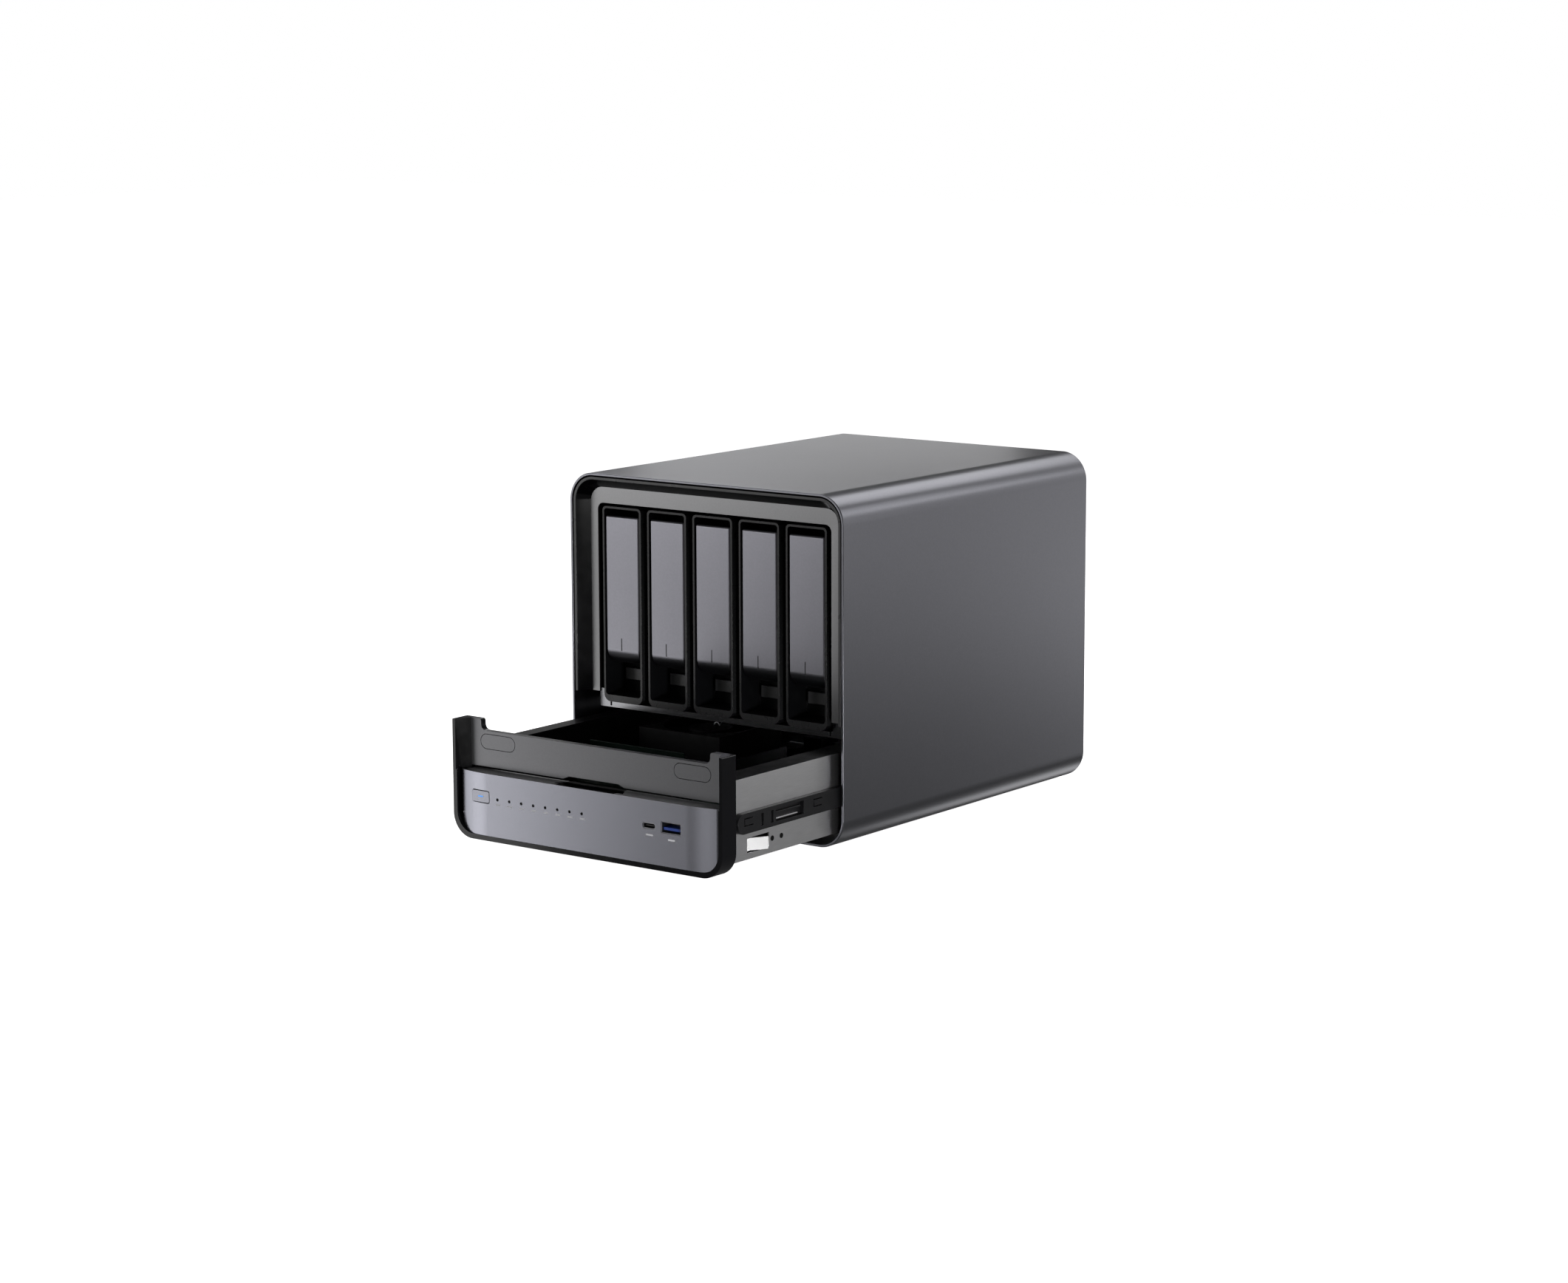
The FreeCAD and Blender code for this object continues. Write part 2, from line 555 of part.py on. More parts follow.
def trays():
    for number in range(1, 6):
        x = "%d * bay_pitch" % (number - 3)
        tray_carrier(number, x)
        tray_door(number, x)
        tray_latch(number, x)


# ---------------------------------------------------------------- rear frame, panel and fans

PANEL_FRONT = "shell_depth - rear_inset - panel_wall"


def rear_frame():
    """The ring that the rear panel screws to. The drawer's back end passes through its foot."""
    body = new_body()
    ring = outline(body, "XZ_Plane",
                   rectangle(("-(%s) + edge_gap" % INNER_HALF, "%s - edge_gap" % INNER_HALF),
                             ("shell_wall + edge_gap", INNER_TOP + " - edge_gap"),
                             "shell_radius - shell_wall - edge_gap"),
                   at=PANEL_FRONT + " - rear_ring_deep")
    pad(body, ring, "rear_ring_deep")
    inside = outline(body, "XZ_Plane",
                     rectangle(("-(%s) + rear_ring" % INNER_HALF, "%s - rear_ring" % INNER_HALF),
                               ("shell_wall + rear_ring", INNER_TOP + " - rear_ring"),
                               "shell_radius - shell_wall - rear_ring"))
    pocket(body, inside)
    passage = outline(body, "XZ_Plane",
                      rectangle(("-passage_half", "passage_half"),
                                ("passage_low", "passage_high"), "passage_radius"))
    pocket(body, passage)
    screws = None
    for x, z in PANEL_SCREWS:
        screws = circle(body, "XZ_Plane", x, z, "fan_hole", sketch=screws)
    pocket(body, screws)
    node("rear_frame", body)


def rear_panel():
    """A perforated steel panel with the drawer's port opening along its foot."""
    body = new_body()
    edge = outline(body, "XZ_Plane",
                   rectangle(("-(%s) + edge_gap" % INNER_HALF, "%s - edge_gap" % INNER_HALF),
                             ("shell_wall + edge_gap", INNER_TOP + " - edge_gap"),
                             "shell_radius - shell_wall - edge_gap"), at=PANEL_FRONT)
    pad(body, edge, "panel_wall")
    ports = outline(body, "XZ_Plane",
                    rectangle(("-shield_left - 1", "shield_right + 1"),
                              ("port_low", "port_high"), "1"))
    pocket(body, ports)
    reach = "grille_pitch * (grille_rows - 1) / 2"
    holes = None
    for fan in ("-fan_x", "fan_x"):
        for shift in ("0", "grille_pitch / 2"):
            holes = circle(body, "XZ_Plane", "%s - %s + %s" % (fan, reach, shift),
                           "fan_z - %s + %s" % (reach, shift), "grille_hole", sketch=holes)
    grille = pocket(body, holes)
    grid = body.newObject("PartDesign::LinearPattern", "GrilleGrid")
    grid.Originals = [grille]
    grid.Direction = (holes, ["H_Axis"])
    grid.Direction2 = (holes, ["V_Axis"])
    bind(grid, "Length", "grille_pitch * (grille_rows - 2)")
    bind(grid, "Length2", "grille_pitch * (grille_rows - 2)")
    grid.Occurrences = int(SIZES["grille_rows"]) - 1
    grid.Occurrences2 = int(SIZES["grille_rows"]) - 1
    body.Tip = grid
    screws = None
    for x, z in FAN_SCREWS + PANEL_SCREWS:
        screws = circle(body, "XZ_Plane", x, z, "fan_hole", sketch=screws)
    pocket(body, screws)
    node("rear_panel", body)


HALF_PITCH = "fan_hole_pitch / 2"
FAN_SCREWS = [("%s + %d * %s" % (fan, side, HALF_PITCH), "fan_z + %d * %s" % (up, HALF_PITCH))
              for fan in ("-fan_x", "fan_x") for side in (-1, 1) for up in (-1, 1)]
PANEL_EDGE = "shell_width / 2 - shell_wall - rear_ring / 2"
PANEL_SCREWS = [("%s * (%s)" % (side, PANEL_EDGE), z)
                for side in (-1, 1)
                for z in ("panel_screw_low", "panel_screw_mid", "panel_screw_high")]


def rear_screws():
    """Fan screws through the panel into the fans, and panel screws into the rear frame."""
    screws = []
    for x, z in FAN_SCREWS + PANEL_SCREWS:
        head = rod("y", (x, PANEL_FRONT + " + panel_wall", z), "screw_head", "screw_head_tall")
        shank = rod("y", (x, PANEL_FRONT + " - screw_reach", z), "screw_shank",
                    "panel_wall + screw_reach + 0.2")
        screws.append(joined(head, shank))
    node("rear_screws", grouped(*screws))


def rear_fan_frame(label, x):
    back = PANEL_FRONT
    front = PANEL_FRONT + " - fan_deep"
    body = new_body()
    half = "fan_size / 2"
    square = outline(body, "XZ_Plane",
                     rectangle(("%s - %s" % (x, half), "%s + %s" % (x, half)),
                               ("fan_z - " + half, "fan_z + " + half), "fan_corner"), at=front)
    pad(body, square, "fan_deep")
    pocket(body, circle(body, "XZ_Plane", x, "fan_z", "fan_bore"))
    holes = None
    for side in (-1, 1):
        for up in (-1, 1):
            holes = circle(body, "XZ_Plane", "%s + %d * fan_hole_pitch / 2" % (x, side),
                           "fan_z + %d * fan_hole_pitch / 2" % up, "fan_hole", sketch=holes)
    pocket(body, holes)
    motor_front = back + " - motor_inset - motor_deep"
    motor = rod("y", (x, motor_front, "fan_z"), "fan_hub", "motor_deep")
    shaft = rod("y", (x, back + " - 2 - shaft_length", "fan_z"), "fan_shaft", "shaft_length")
    pieces = [body, motor, shaft]
    for turn in (45, 135, 225, 315):
        strut = block(("0", "fan_bore + 1"), (motor_front, back + " - motor_inset"),
                      ("-strut_half", "strut_half"))
        strut.setExpression("Placement.Base.x", formula(x))
        strut.setExpression("Placement.Base.z", formula("fan_z"))
        strut.Placement.Rotation = FreeCAD.Rotation(FreeCAD.Vector(0, 1, 0), turn)
        pieces.append(strut)
    node(label, joined(*pieces))


def rotor_blades(hub, tip, chord, pitch, count, spin_axis):
    """Flat blades about the origin, each turned about its own radius by the pitch."""
    blades = []
    for index in range(count):
        blade = doc.addObject("Part::Box", "Blade")
        bind(blade, "Length", "%s - %s + 2" % (tip, hub))
        bind(blade, "Width", "blade_thick")
        bind(blade, "Height", chord)
        corner = FreeCAD.Vector(amount(hub) - 2, -amount("blade_thick") / 2, -amount(chord) / 2)
        out = FreeCAD.Placement(corner, FreeCAD.Rotation())
        tilt = FreeCAD.Placement(FreeCAD.Vector(), FreeCAD.Rotation(FreeCAD.Vector(1, 0, 0), pitch))
        spin = FreeCAD.Placement(FreeCAD.Vector(),
                                 FreeCAD.Rotation(FreeCAD.Vector(0, 0, 1), 360.0 * index / count))
        blade.Placement = spin_axis.multiply(spin).multiply(tilt).multiply(out)
        blades.append(blade)
    return blades


def rotor(hub, tip, chord, hub_start, hub_length, bore_start, axis, centre):
    """A fan wheel: hub, blades and the blind bore that runs on the frame's shaft."""
    start = list(centre)
    along = {"y": 1, "z": 2}[axis]
    start[along] = hub_start
    middle = FreeCAD.Vector(*[amount(value) for value in centre])
    turn = TURNS[axis]
    wheel = [rod(axis, start, hub, hub_length)]
    wheel += rotor_blades(hub, tip, chord, SIZES["blade_pitch"], SIZES["blades"],
                          FreeCAD.Placement(middle, turn))
    bore_at = list(centre)
    bore_at[along] = bore_start
    bore = rod(axis, bore_at, "fan_shaft + bore_clearance", hub_length)
    return cut(joined(*wheel), bore)


def rear_fan_rotor(label, x):
    hub_end = PANEL_FRONT + " - motor_inset - motor_deep - rotor_clearance"
    shaft_tip = PANEL_FRONT + " - 2 - shaft_length - rotor_clearance"
    wheel = rotor("fan_hub", "fan_bore - fan_blade_gap", "fan_blade_chord",
                  hub_end + " - rotor_length", "rotor_length", shaft_tip, "y",
                  (x, hub_end + " - rotor_length / 2", "fan_z"))
    node(label, wheel)


def rear_fans():
    rear_fan_frame("rear_fan_frame_left", "-fan_x")
    rear_fan_rotor("rear_fan_rotor_left", "-fan_x")
    rear_fan_frame("rear_fan_frame_right", "fan_x")
    rear_fan_rotor("rear_fan_rotor_right", "fan_x")


def chassis_runner(label, side):
    """The channel on the shell's inner wall in which the drawer's rail slides."""
    floor = "rail_floor - runner_gap"
    roof = "rail_roof + runner_gap"
    web = block(mirrored_range(side, "shell_width / 2 - shell_wall - runner_web",
                               "shell_width / 2 - shell_wall"),
                ("runner_front", PANEL_FRONT + " - rear_ring_deep"),
                (floor + " - runner_wall", roof + " + runner_wall"))
    flanges = [block(mirrored_range(side, "steel_half + runner_gap",
                                    "shell_width / 2 - shell_wall - runner_web"),
                     ("runner_front", PANEL_FRONT + " - rear_ring_deep"), heights)
               for heights in ((floor + " - runner_wall", floor), (roof, roof + " + runner_wall"))]
    node(label, joined(web, *flanges))


def dock_socket():
    """The blind-mating socket that links the drawer's board to the backplane."""
    shell = block(("dock_x - dock_half", "dock_x + dock_half"), ("dock_face", PANEL_FRONT),
                  ("dock_z - dock_tall", "dock_z + dock_tall"))
    slot = block(("dock_x - dock_half + dock_slot_margin", "dock_x + dock_half - dock_slot_margin"),
                 ("dock_face - 1", "dock_face + dock_slot_deep"),
                 ("dock_z - dock_slot_half", "dock_z + dock_slot_half"))
    node("dock_socket", cut(shell, slot))


# ---------------------------------------------------------------- drawer front

def drawer_front_frame():
    """The black surround: floor and two ears outside, a hollow behind the fascia inside."""
    body = new_body()
    outer = outline(body, "XZ_Plane",
                    rectangle(("-drawer_half", "drawer_half"), ("drawer_floor", "ear_top"),
                              "drawer_radius", "frame_edge"))
    pad(body, outer, "frame_deep")
    walls = []
    for at, inset in (("0", "ear_lip"), ("panel_front", "drawer_half - ear_inner")):
        half = "drawer_half - (%s)" % inset
        walls.append(outline(body, "XZ_Plane",
                             rectangle(("-(%s)" % half, half), ("ledge", "ear_top + 5")), at=at))
    loft_cut(body, *walls)
    through = outline(body, "XZ_Plane",
                      rectangle(("-ear_inner", "ear_inner"), ("ledge", "ear_top + 5")))
    pocket(body, through)
    recess = outline(body, "XZ_Plane",
                     rectangle(("-fascia_half - fit_gap", "fascia_half + fit_gap"),
                               ("fascia_low - fit_gap", "ledge + 1"), "fascia_radius", "0"))
    pocket(body, recess, "fascia_thick + fit_gap")
    back = outline(body, "XZ_Plane",
                   rectangle(("-ear_inner", "ear_inner"), ("back_low", "back_high"),
                             "back_radius"), at="back_start")
    pocket(body, back)
    scoop = outline(body, "XY_Plane", [
        ("-scoop_half - scoop_slope", "fascia_thick - 1", "0"),
        ("scoop_half + scoop_slope", "fascia_thick - 1", "0"),
        ("scoop_half", "panel_front + 0.6", "0"), ("-scoop_half", "panel_front + 0.6", "0")],
        at="scoop_top")
    pocket(body, scoop, "scoop_deep")
    windows = front_windows(body, "pill_gap")
    pocket(body, windows, "fascia_thick + 8")
    node("drawer_front_frame", body, in_drawer=True)


def front_windows(body, gap):
    """Openings for the power button, the light pipes and the two ports."""
    sketch = outline(body, "XZ_Plane",
                     rectangle(("-power_x - power_half - " + gap, "-power_x + power_half + " + gap),
                               ("power_z - power_tall / 2 - " + gap,
                                "power_z + power_tall / 2 + " + gap), "1.4"))
    for index in range(int(SIZES["led_count"])):
        circle(body, "XZ_Plane", repeated("-led_first", "led_pitch", index), "led_z", "led_hole",
               sketch=sketch)
    outline(body, "XZ_Plane",
            rectangle(("usb_c_x - usb_c_half - fit_gap", "usb_c_x + usb_c_half + fit_gap"),
                      ("usb_c_z - usb_c_tall / 2 - fit_gap", "usb_c_z + usb_c_tall / 2 + fit_gap"),
                      "usb_c_tall / 2"), sketch=sketch)
    outline(body, "XZ_Plane",
            rectangle(("usb_a_x - usb_a_half - fit_gap", "usb_a_x + usb_a_half + fit_gap"),
                      ("usb_a_z - usb_a_tall / 2 - fit_gap", "usb_a_z + usb_a_tall / 2 + fit_gap"),
                      "0.5"), sketch=sketch)
    return sketch


def fascia():
    """The metallic face: its ends curve back, and its lower corners are rounded."""
    body = new_body()
    face = outline(body, "XY_Plane", [
        ("-fascia_half", "fascia_end + 0.1", "0"), ("-fascia_half", "0", "fascia_end"),
        ("fascia_half", "0", "fascia_end"), ("fascia_half", "fascia_end + 0.1", "0"),
        ("fascia_half", "fascia_thick", "0"), ("-fascia_half", "fascia_thick", "0")],
        at="fascia_low")
    pad(body, face, "ledge - fascia_low", backward=False)
    for side in (-1, 1):
        corner = outline(body, "XZ_Plane", [
            ("%d * (fascia_half + 2)" % side, "fascia_low - 2", "0"),
            ("%d * (fascia_half + 2)" % side, "fascia_low + fascia_radius", "0"),
            ("%d * fascia_half" % side, "fascia_low + fascia_radius", "0"),
            ("%d * fascia_half" % side, "fascia_low", "fascia_radius * 0.999"),
            ("%d * (fascia_half - fascia_radius)" % side, "fascia_low", "0"),
            ("%d * (fascia_half - fascia_radius)" % side, "fascia_low - 2", "0")], at="-1")
        pocket(body, corner)
    pocket(body, front_windows(body, "pill_gap"))
    node("fascia", body, in_drawer=True)


def pill(body, side, gap, at="0", sketch=None):
    """A release button's outline: rounded ends, widened all round by the gap."""
    return outline(body, "XZ_Plane",
                   rectangle(mirrored_range(side, "pill_inner - %s" % gap, "pill_outer + %s" % gap),
                             ("pill_low - " + gap, "pill_high + " + gap),
                             "(pill_high - pill_low) / 2 + %s - 0.001" % gap),
                   at=at, sketch=sketch)


def drawer_front_panel():
    """The recessed grey panel with its two ears and the openings for the release buttons."""
    body = new_body()
    face = outline(body, "XZ_Plane", [
        ("-ear_inner", "panel_low", "0"), ("-scoop_half", "panel_low", "0"),
        ("-scoop_half + scoop_slope", "panel_low + scoop_rise", "0"),
        ("scoop_half - scoop_slope", "panel_low + scoop_rise", "0"),
        ("scoop_half", "panel_low", "0"), ("ear_inner", "panel_low", "0"),
        ("ear_inner", "ear_top", "0"), ("notch_x", "ear_top", "ear_radius"),
        ("notch_x", "panel_top", "notch_radius"), ("-notch_x", "panel_top", "notch_radius"),
        ("-notch_x", "ear_top", "ear_radius"), ("-ear_inner", "ear_top", "0")],
        at="panel_front")
    pad(body, face, "panel_thick")
    openings = pill(body, -1, "pill_gap")
    pill(body, 1, "pill_gap", sketch=openings)
    pocket(body, openings)
    node("drawer_front_panel", body, in_drawer=True)


def release_button(label, side):
    body = new_body()
    pad(body, pill(body, side, "0", at="panel_front"), "panel_thick - 0.4")
    node(label, body, in_drawer=True)


def power_button():
    body = new_body()
    face = outline(body, "XZ_Plane",
                   rectangle(("-power_x - power_half", "-power_x + power_half"),
                             ("power_z - power_tall / 2", "power_z + power_tall / 2"),
                             "power_radius"))
    pad(body, face, "power_deep")
    node("power_button", body, in_drawer=True)


def led_light_pipes():
    """Light pipes that end just behind the fascia's holes, and stand on the front board."""
    pipes = [rod("y", (repeated("-led_first", "led_pitch", index), "led_start", "led_z"),
                 "led_hole - fit_gap", "led_end - led_start")
             for index in range(int(SIZES["led_count"]))]
    node("led_light_pipes", grouped(*pipes), in_drawer=True)


def front_port(label, port, radius, tongue):
    """A socket: a metal shell with an open mouth, and a tongue inside it."""
    middle, height = port + "_x", port + "_z"
    half, tall = port + "_half", port + "_tall"
    low, high = "%s - %s / 2" % (height, tall), "%s + %s / 2" % (height, tall)
    left, right = "%s - %s" % (middle, half), "%s + %s" % (middle, half)
    body = new_body()
    outer = outline(body, "XZ_Plane", rectangle((left, right), (low, high), radius),
                    at="port_start")
    pad(body, outer, "port_deep")
    inner = outline(body, "XZ_Plane",
                    rectangle((left + " + port_wall", right + " - port_wall"),
                              (low + " + port_wall", high + " - port_wall"),
                              radius + " - port_wall"), at="port_start")
    pocket(body, inner, "port_mouth")
    inset, bottom, top = tongue
    bar = block((left + " + " + inset, right + " - " + inset), ("tongue_start", "tongue_end"),
                ("%s + %s" % (height, bottom), "%s + %s" % (height, top)))
    node(label, joined(body, bar), in_drawer=True)


def front_io_board():
    board = block(("-front_board_left", "front_board_right"),
                  ("front_board_y", "front_board_y + board_thick"),
                  ("front_board_low", "front_board_high"))
    node("front_io_board", grouped(board), in_drawer=True)


# ---------------------------------------------------------------- drawer tray and rails

def drawer_tray():
    """The steel tray: a floor, two sides and inward flanges, bent from one sheet."""
    y = ("frame_deep", "steel_back - 2")
    floor = block(("-steel_half", "steel_half"), y, ("steel_low", "steel_low + steel_wall"))
    sides = [block(mirrored_range(side, "steel_half - steel_wall", "steel_half"), y,
                   ("steel_low", "steel_high")) for side in (-1, 1)]
    y_flange = ("frame_deep + button_room", y[1])
    left = block(("-steel_half", "-steel_half + flange_left"), y_flange,
                 ("steel_high - steel_wall", "steel_high"))
    right = block(("steel_half - flange_right", "steel_half"), y_flange,
                  ("steel_high - steel_wall", "steel_high"))
    front = block(("-steel_half", "steel_half"), ("frame_deep", "frame_deep + steel_wall"),
                  ("steel_low", "steel_low + tray_front_lip"))
    tools = []
    for side in (-1, 1):
        through = mirrored_range(side, "steel_half - steel_wall - 1", "steel_half + 1")
        tools.append(block(through, ("window_front", "window_back"),
                           ("window_low", "window_high")))
        for y_hole in ("pin_hole_first", "pin_hole_second"):
            tools.append(rod("x", (through[0], y_hole, "pin_hole_z"), "pin_hole",
                             "steel_wall + 2"))
    for index in range(3):
        start = repeated("floor_slot_first", "floor_slot_pitch", index)
        tools.append(block(("-floor_slot_half", "floor_slot_half"),
                           (start, start + " + floor_slot_wide"),
                           ("steel_low - 1", "steel_low + steel_wall + 1")))
    node("drawer_tray", cut(joined(floor, *sides, left, right, front), *tools), in_drawer=True)


RAIL_FINGERS = (20.8, 84.2, 160, 220)
RAIL_SLOTS = (36, 44.9, 112, 190)
RAIL_WINDOWS = (49.5, 122, 200)


def drawer_rail(label, side):
    """The plastic runner on the tray's side, with spring fingers cut into it and windows."""
    body = new_body()
    profile = outline(body, "YZ_Plane", [
        ("rail_front", "rail_floor", "rail_front_radius"),
        ("rail_back", "rail_floor", "rail_back_radius"),
        ("rail_back", "rail_roof", "rail_back_radius"),
        ("rail_front", "rail_roof", "rail_front_radius")],
        at="steel_half" if side > 0 else "-rail_out")
    pad(body, profile, "rail_out - steel_half", backward=False)
    cuts = []
    surface = mirrored_range(side, "rail_out - slot_deep", "rail_out + 1")
    through = mirrored_range(side, "steel_half - 1", "rail_out + 1")
    for start in RAIL_FINGERS:
        along = ("%s" % start, "%s + finger_long" % start)
        cuts.append(block(through, along, ("finger_high - finger_cut", "finger_high")))
        cuts.append(block(through, along, ("finger_low", "finger_low + finger_cut")))
        cuts.append(block(through, ("%s" % start, "%s + finger_cut" % start),
                          ("finger_low", "finger_high")))
    for start in RAIL_SLOTS:
        cuts.append(block(surface, ("%s" % start, "%s + slot_long" % start),
                          ("slot_low", "slot_high")))
    for start in RAIL_WINDOWS:
        cuts.append(block(through, ("%s" % start, "%s + rail_window_long" % start),
                          ("slot_low", "rail_window_high")))
    node(label, cut(body, *cuts), in_drawer=True)


def stop_tab(label, side):
    """A leaf that slants out through the tray's window, with a thicker foot inside."""
    body = new_body()
    leaf = outline(body, "XY_Plane", [
        ("%d * tab_in" % side, "tab_front", "0"),
        ("%d * (tab_in + tab_lean)" % side, "tab_back", "0"),
        ("%d * (tab_in + tab_lean - tab_thick)" % side, "tab_back + 0.6", "0"),
        ("%d * (tab_in - tab_thick)" % side, "tab_front + 1.2", "0")], at="tab_low")
    pad(body, leaf, "tab_high - tab_low", backward=False)
    foot = block(mirrored_range(side, "tab_in - tab_foot", "tab_in + 0.3"),
                 ("tab_front - 2.5", "tab_foot_back"), ("tab_low", "tab_high"))
    node(label, joined(body, foot), in_drawer=True)


def drawer_screws():
    """Screws up through the tray's floor into the standoffs, heads below the floor."""
    screws = []
    for x, y in STANDOFFS:
        screws.append(rod("z", (x, y, "steel_low - floor_screw_tall"), "floor_screw_head",
                          "floor_screw_tall"))
    node("drawer_screws", grouped(*screws), in_drawer=True)


# ---------------------------------------------------------------- boards and modules

BOARD_TOP = "board_z + board_thick"
STANDOFFS = [(x, y) for x in ("-board_x + 6", "0", "board_right - 8")
             for y in ("board_front + 6", "board_back - 8")]


def motherboard():
    board = block(("-board_x", "board_right"), ("board_front", "board_back"),
                  ("board_z", BOARD_TOP))
    holes = [rod("z", (x, y, "board_z - 1"), "board_hole", "board_thick + 2")
             for x, y in STANDOFFS]
    node("motherboard", cut(board, *holes), in_drawer=True)


def board_standoffs():
    posts = [rod("z", (x, y, "steel_low + steel_wall"), "standoff",
                 "board_z - steel_low - steel_wall") for x, y in STANDOFFS]
    node("board_standoffs", grouped(*posts), in_drawer=True)


def cpu_heatsink():
    x = ("-sink_x - sink_half", "-sink_x + sink_half")
    y = ("sink_y - sink_half", "sink_y + sink_half")
    pieces = [block(x, y, ("sink_low", "sink_low + sink_base")),
              block(("-sink_x - sink_foot", "-sink_x + sink_foot"),
                    ("sink_y - sink_foot", "sink_y + sink_foot"), (BOARD_TOP, "sink_low"))]
    for index in range(int(SIZES["fin_count"])):
        start = repeated("-sink_x - sink_half", "fin_pitch", index)
        pieces.append(block((start, start + " + fin_wall"), y,
                            ("sink_low + sink_base", "fin_top")))
    node("cpu_heatsink", joined(*pieces), in_drawer=True)


def cpu_fan_frame():
    half = "cooler_size / 2"
    square = block(("-sink_x - " + half, "-sink_x + " + half),
                   ("sink_y - " + half, "sink_y + " + half), ("fin_top", "fin_top + cooler_deep"))
    bore = rod("z", ("-sink_x", "sink_y", "fin_top - 1"), "cooler_bore", "cooler_deep + 2")
    base = rod("z", ("-sink_x", "sink_y", "fin_top"), "cooler_hub", "cooler_motor")
    shaft = rod("z", ("-sink_x", "sink_y", "fin_top"), "fan_shaft", "cooler_shaft")
    heights = ("fin_top", "fin_top + cooler_motor")
    struts = [block(("-sink_x - cooler_bore - 1", "-sink_x + cooler_bore + 1"),
                    ("sink_y - cooler_strut_half", "sink_y + cooler_strut_half"), heights),
              block(("-sink_x - cooler_strut_half", "-sink_x + cooler_strut_half"),
                    ("sink_y - cooler_bore - 1", "sink_y + cooler_bore + 1"), heights)]
    node("cpu_fan_frame", joined(cut(square, bore), base, shaft, *struts), in_drawer=True)


def cpu_fan_rotor():
    wheel = rotor("cooler_hub", "cooler_bore - cooler_blade_gap", "cooler_blade_chord",
                  "cooler_rotor_start", "cooler_rotor_length", "fin_top", "z",
                  ("-sink_x", "sink_y", "cooler_rotor_start + cooler_rotor_length / 2"))
    node("cpu_fan_rotor", wheel, in_drawer=True)


def memory_modules():
    """Two laptop-size modules, each standing in its socket."""
    pieces = []
    for index in range(2):
        y = repeated("memory_first", "memory_pitch", index)
        socket = block(("-memory_left", "memory_right"), (y, y + " + memory_socket_deep"),
                       (BOARD_TOP, BOARD_TOP + " + memory_socket_tall"))
        module = block(("-memory_left + memory_inset", "memory_right - memory_inset"),
                       (y + " + memory_start", y + " + memory_end"),
                       (BOARD_TOP + " + memory_socket_tall", BOARD_TOP + " + memory_tall"))
        pieces.append(joined(socket, module))
    node("memory_modules", grouped(*pieces), in_drawer=True)


SSD_PLACES = (20, 46)


def ssd_modules():
    """Two gumstick drives side by side, each in an edge socket with a post under its far end."""
    pieces = []
    for x in SSD_PLACES:
        across = ("%s - ssd_half" % x, "%s + ssd_half" % x)
        socket = block(across, ("ssd_socket_front", "ssd_socket_back"),
                       (BOARD_TOP, BOARD_TOP + " + ssd_high"))
        module = block(across, ("ssd_front", "ssd_back"),
                       (BOARD_TOP + " + ssd_low", BOARD_TOP + " + ssd_high"))
        post = rod("z", ("%s" % x, "ssd_post_y", BOARD_TOP), "ssd_post", "ssd_low + 0.5")
        pieces.append(joined(socket, module, post))
    node("ssd_modules", grouped(*pieces), in_drawer=True)


REAR_PORTS = [
    # label, centre x, half width, low z, high z
    ("display", "-34", "7.8", "board_z + 2.5", "board_z + 8.5"),
    ("usb_stack", "-12", "7", "board_z + 2", "board_z + 17"),
    ("network_a", "10", "8", "board_z + 2", "board_z + 15.5"),
    ("network_b", "30", "8", "board_z + 2", "board_z + 15.5"),
]


def io_shield():
    plate = block(("-shield_left", "shield_right"), ("shield_y", "shield_y + shield_wall"),
                  ("steel_low + steel_wall", "port_high - 1"))
    through = ("shield_y - 1", "shield_y + shield_wall + 1")
    tools = [block(("%s - %s - 2 * fit_gap" % (x, half), "%s + %s + 2 * fit_gap" % (x, half)),
                   through, (low + " - 2 * fit_gap", high + " + 2 * fit_gap"))
             for name, x, half, low, high in REAR_PORTS]
    tools.append(rod("y", ("-inlet_x", "shield_y - 1", "inlet_z"), "inlet_nose + fit_gap",
                     "shield_wall + 2"))
    for index in range(int(SIZES["shield_vent_count"])):
        start = repeated("-shield_vent_first", "shield_vent_pitch", index)
        tools.append(block((start, start + " + shield_vent_wide"), through,
                           ("board_z + shield_vent_low", "board_z + shield_vent_high")))
    node("io_shield", cut(plate, *tools), in_drawer=True)


def rear_ports():
    """Open-mouthed port shells that show through the rear shield; all but two have a tongue."""
    back = "board_back - port_shell_deep"
    ports = []
    for name, x, half, low, high in REAR_PORTS:
        left, right = "%s - %s" % (x, half), "%s + %s" % (x, half)
        shell = block((left, right), (back, "shield_y + 0.8"), (low, high))
        mouth = block((left + " + port_shell_wall", right + " - port_shell_wall"),
                      (back + " + port_back_wall", "shield_y + 1"),
                      (low + " + port_shell_wall", high + " - port_shell_wall"))
        foot = block((left, right), (back, back + " + port_back_wall + 1"), (BOARD_TOP, high))
        pieces = [cut(shell, mouth), foot]
        if not name.startswith("network"):
            middle = "(%s + %s) / 2" % (low, high)
            pieces.append(block((left + " + tongue_margin", right + " - tongue_margin"),
                                (back + " + port_back_wall", "shield_y - 1"),
                                (middle + " - tongue_half", middle + " + tongue_half")))
        ports.append(joined(*pieces))
    node("rear_ports", grouped(*ports), in_drawer=True)


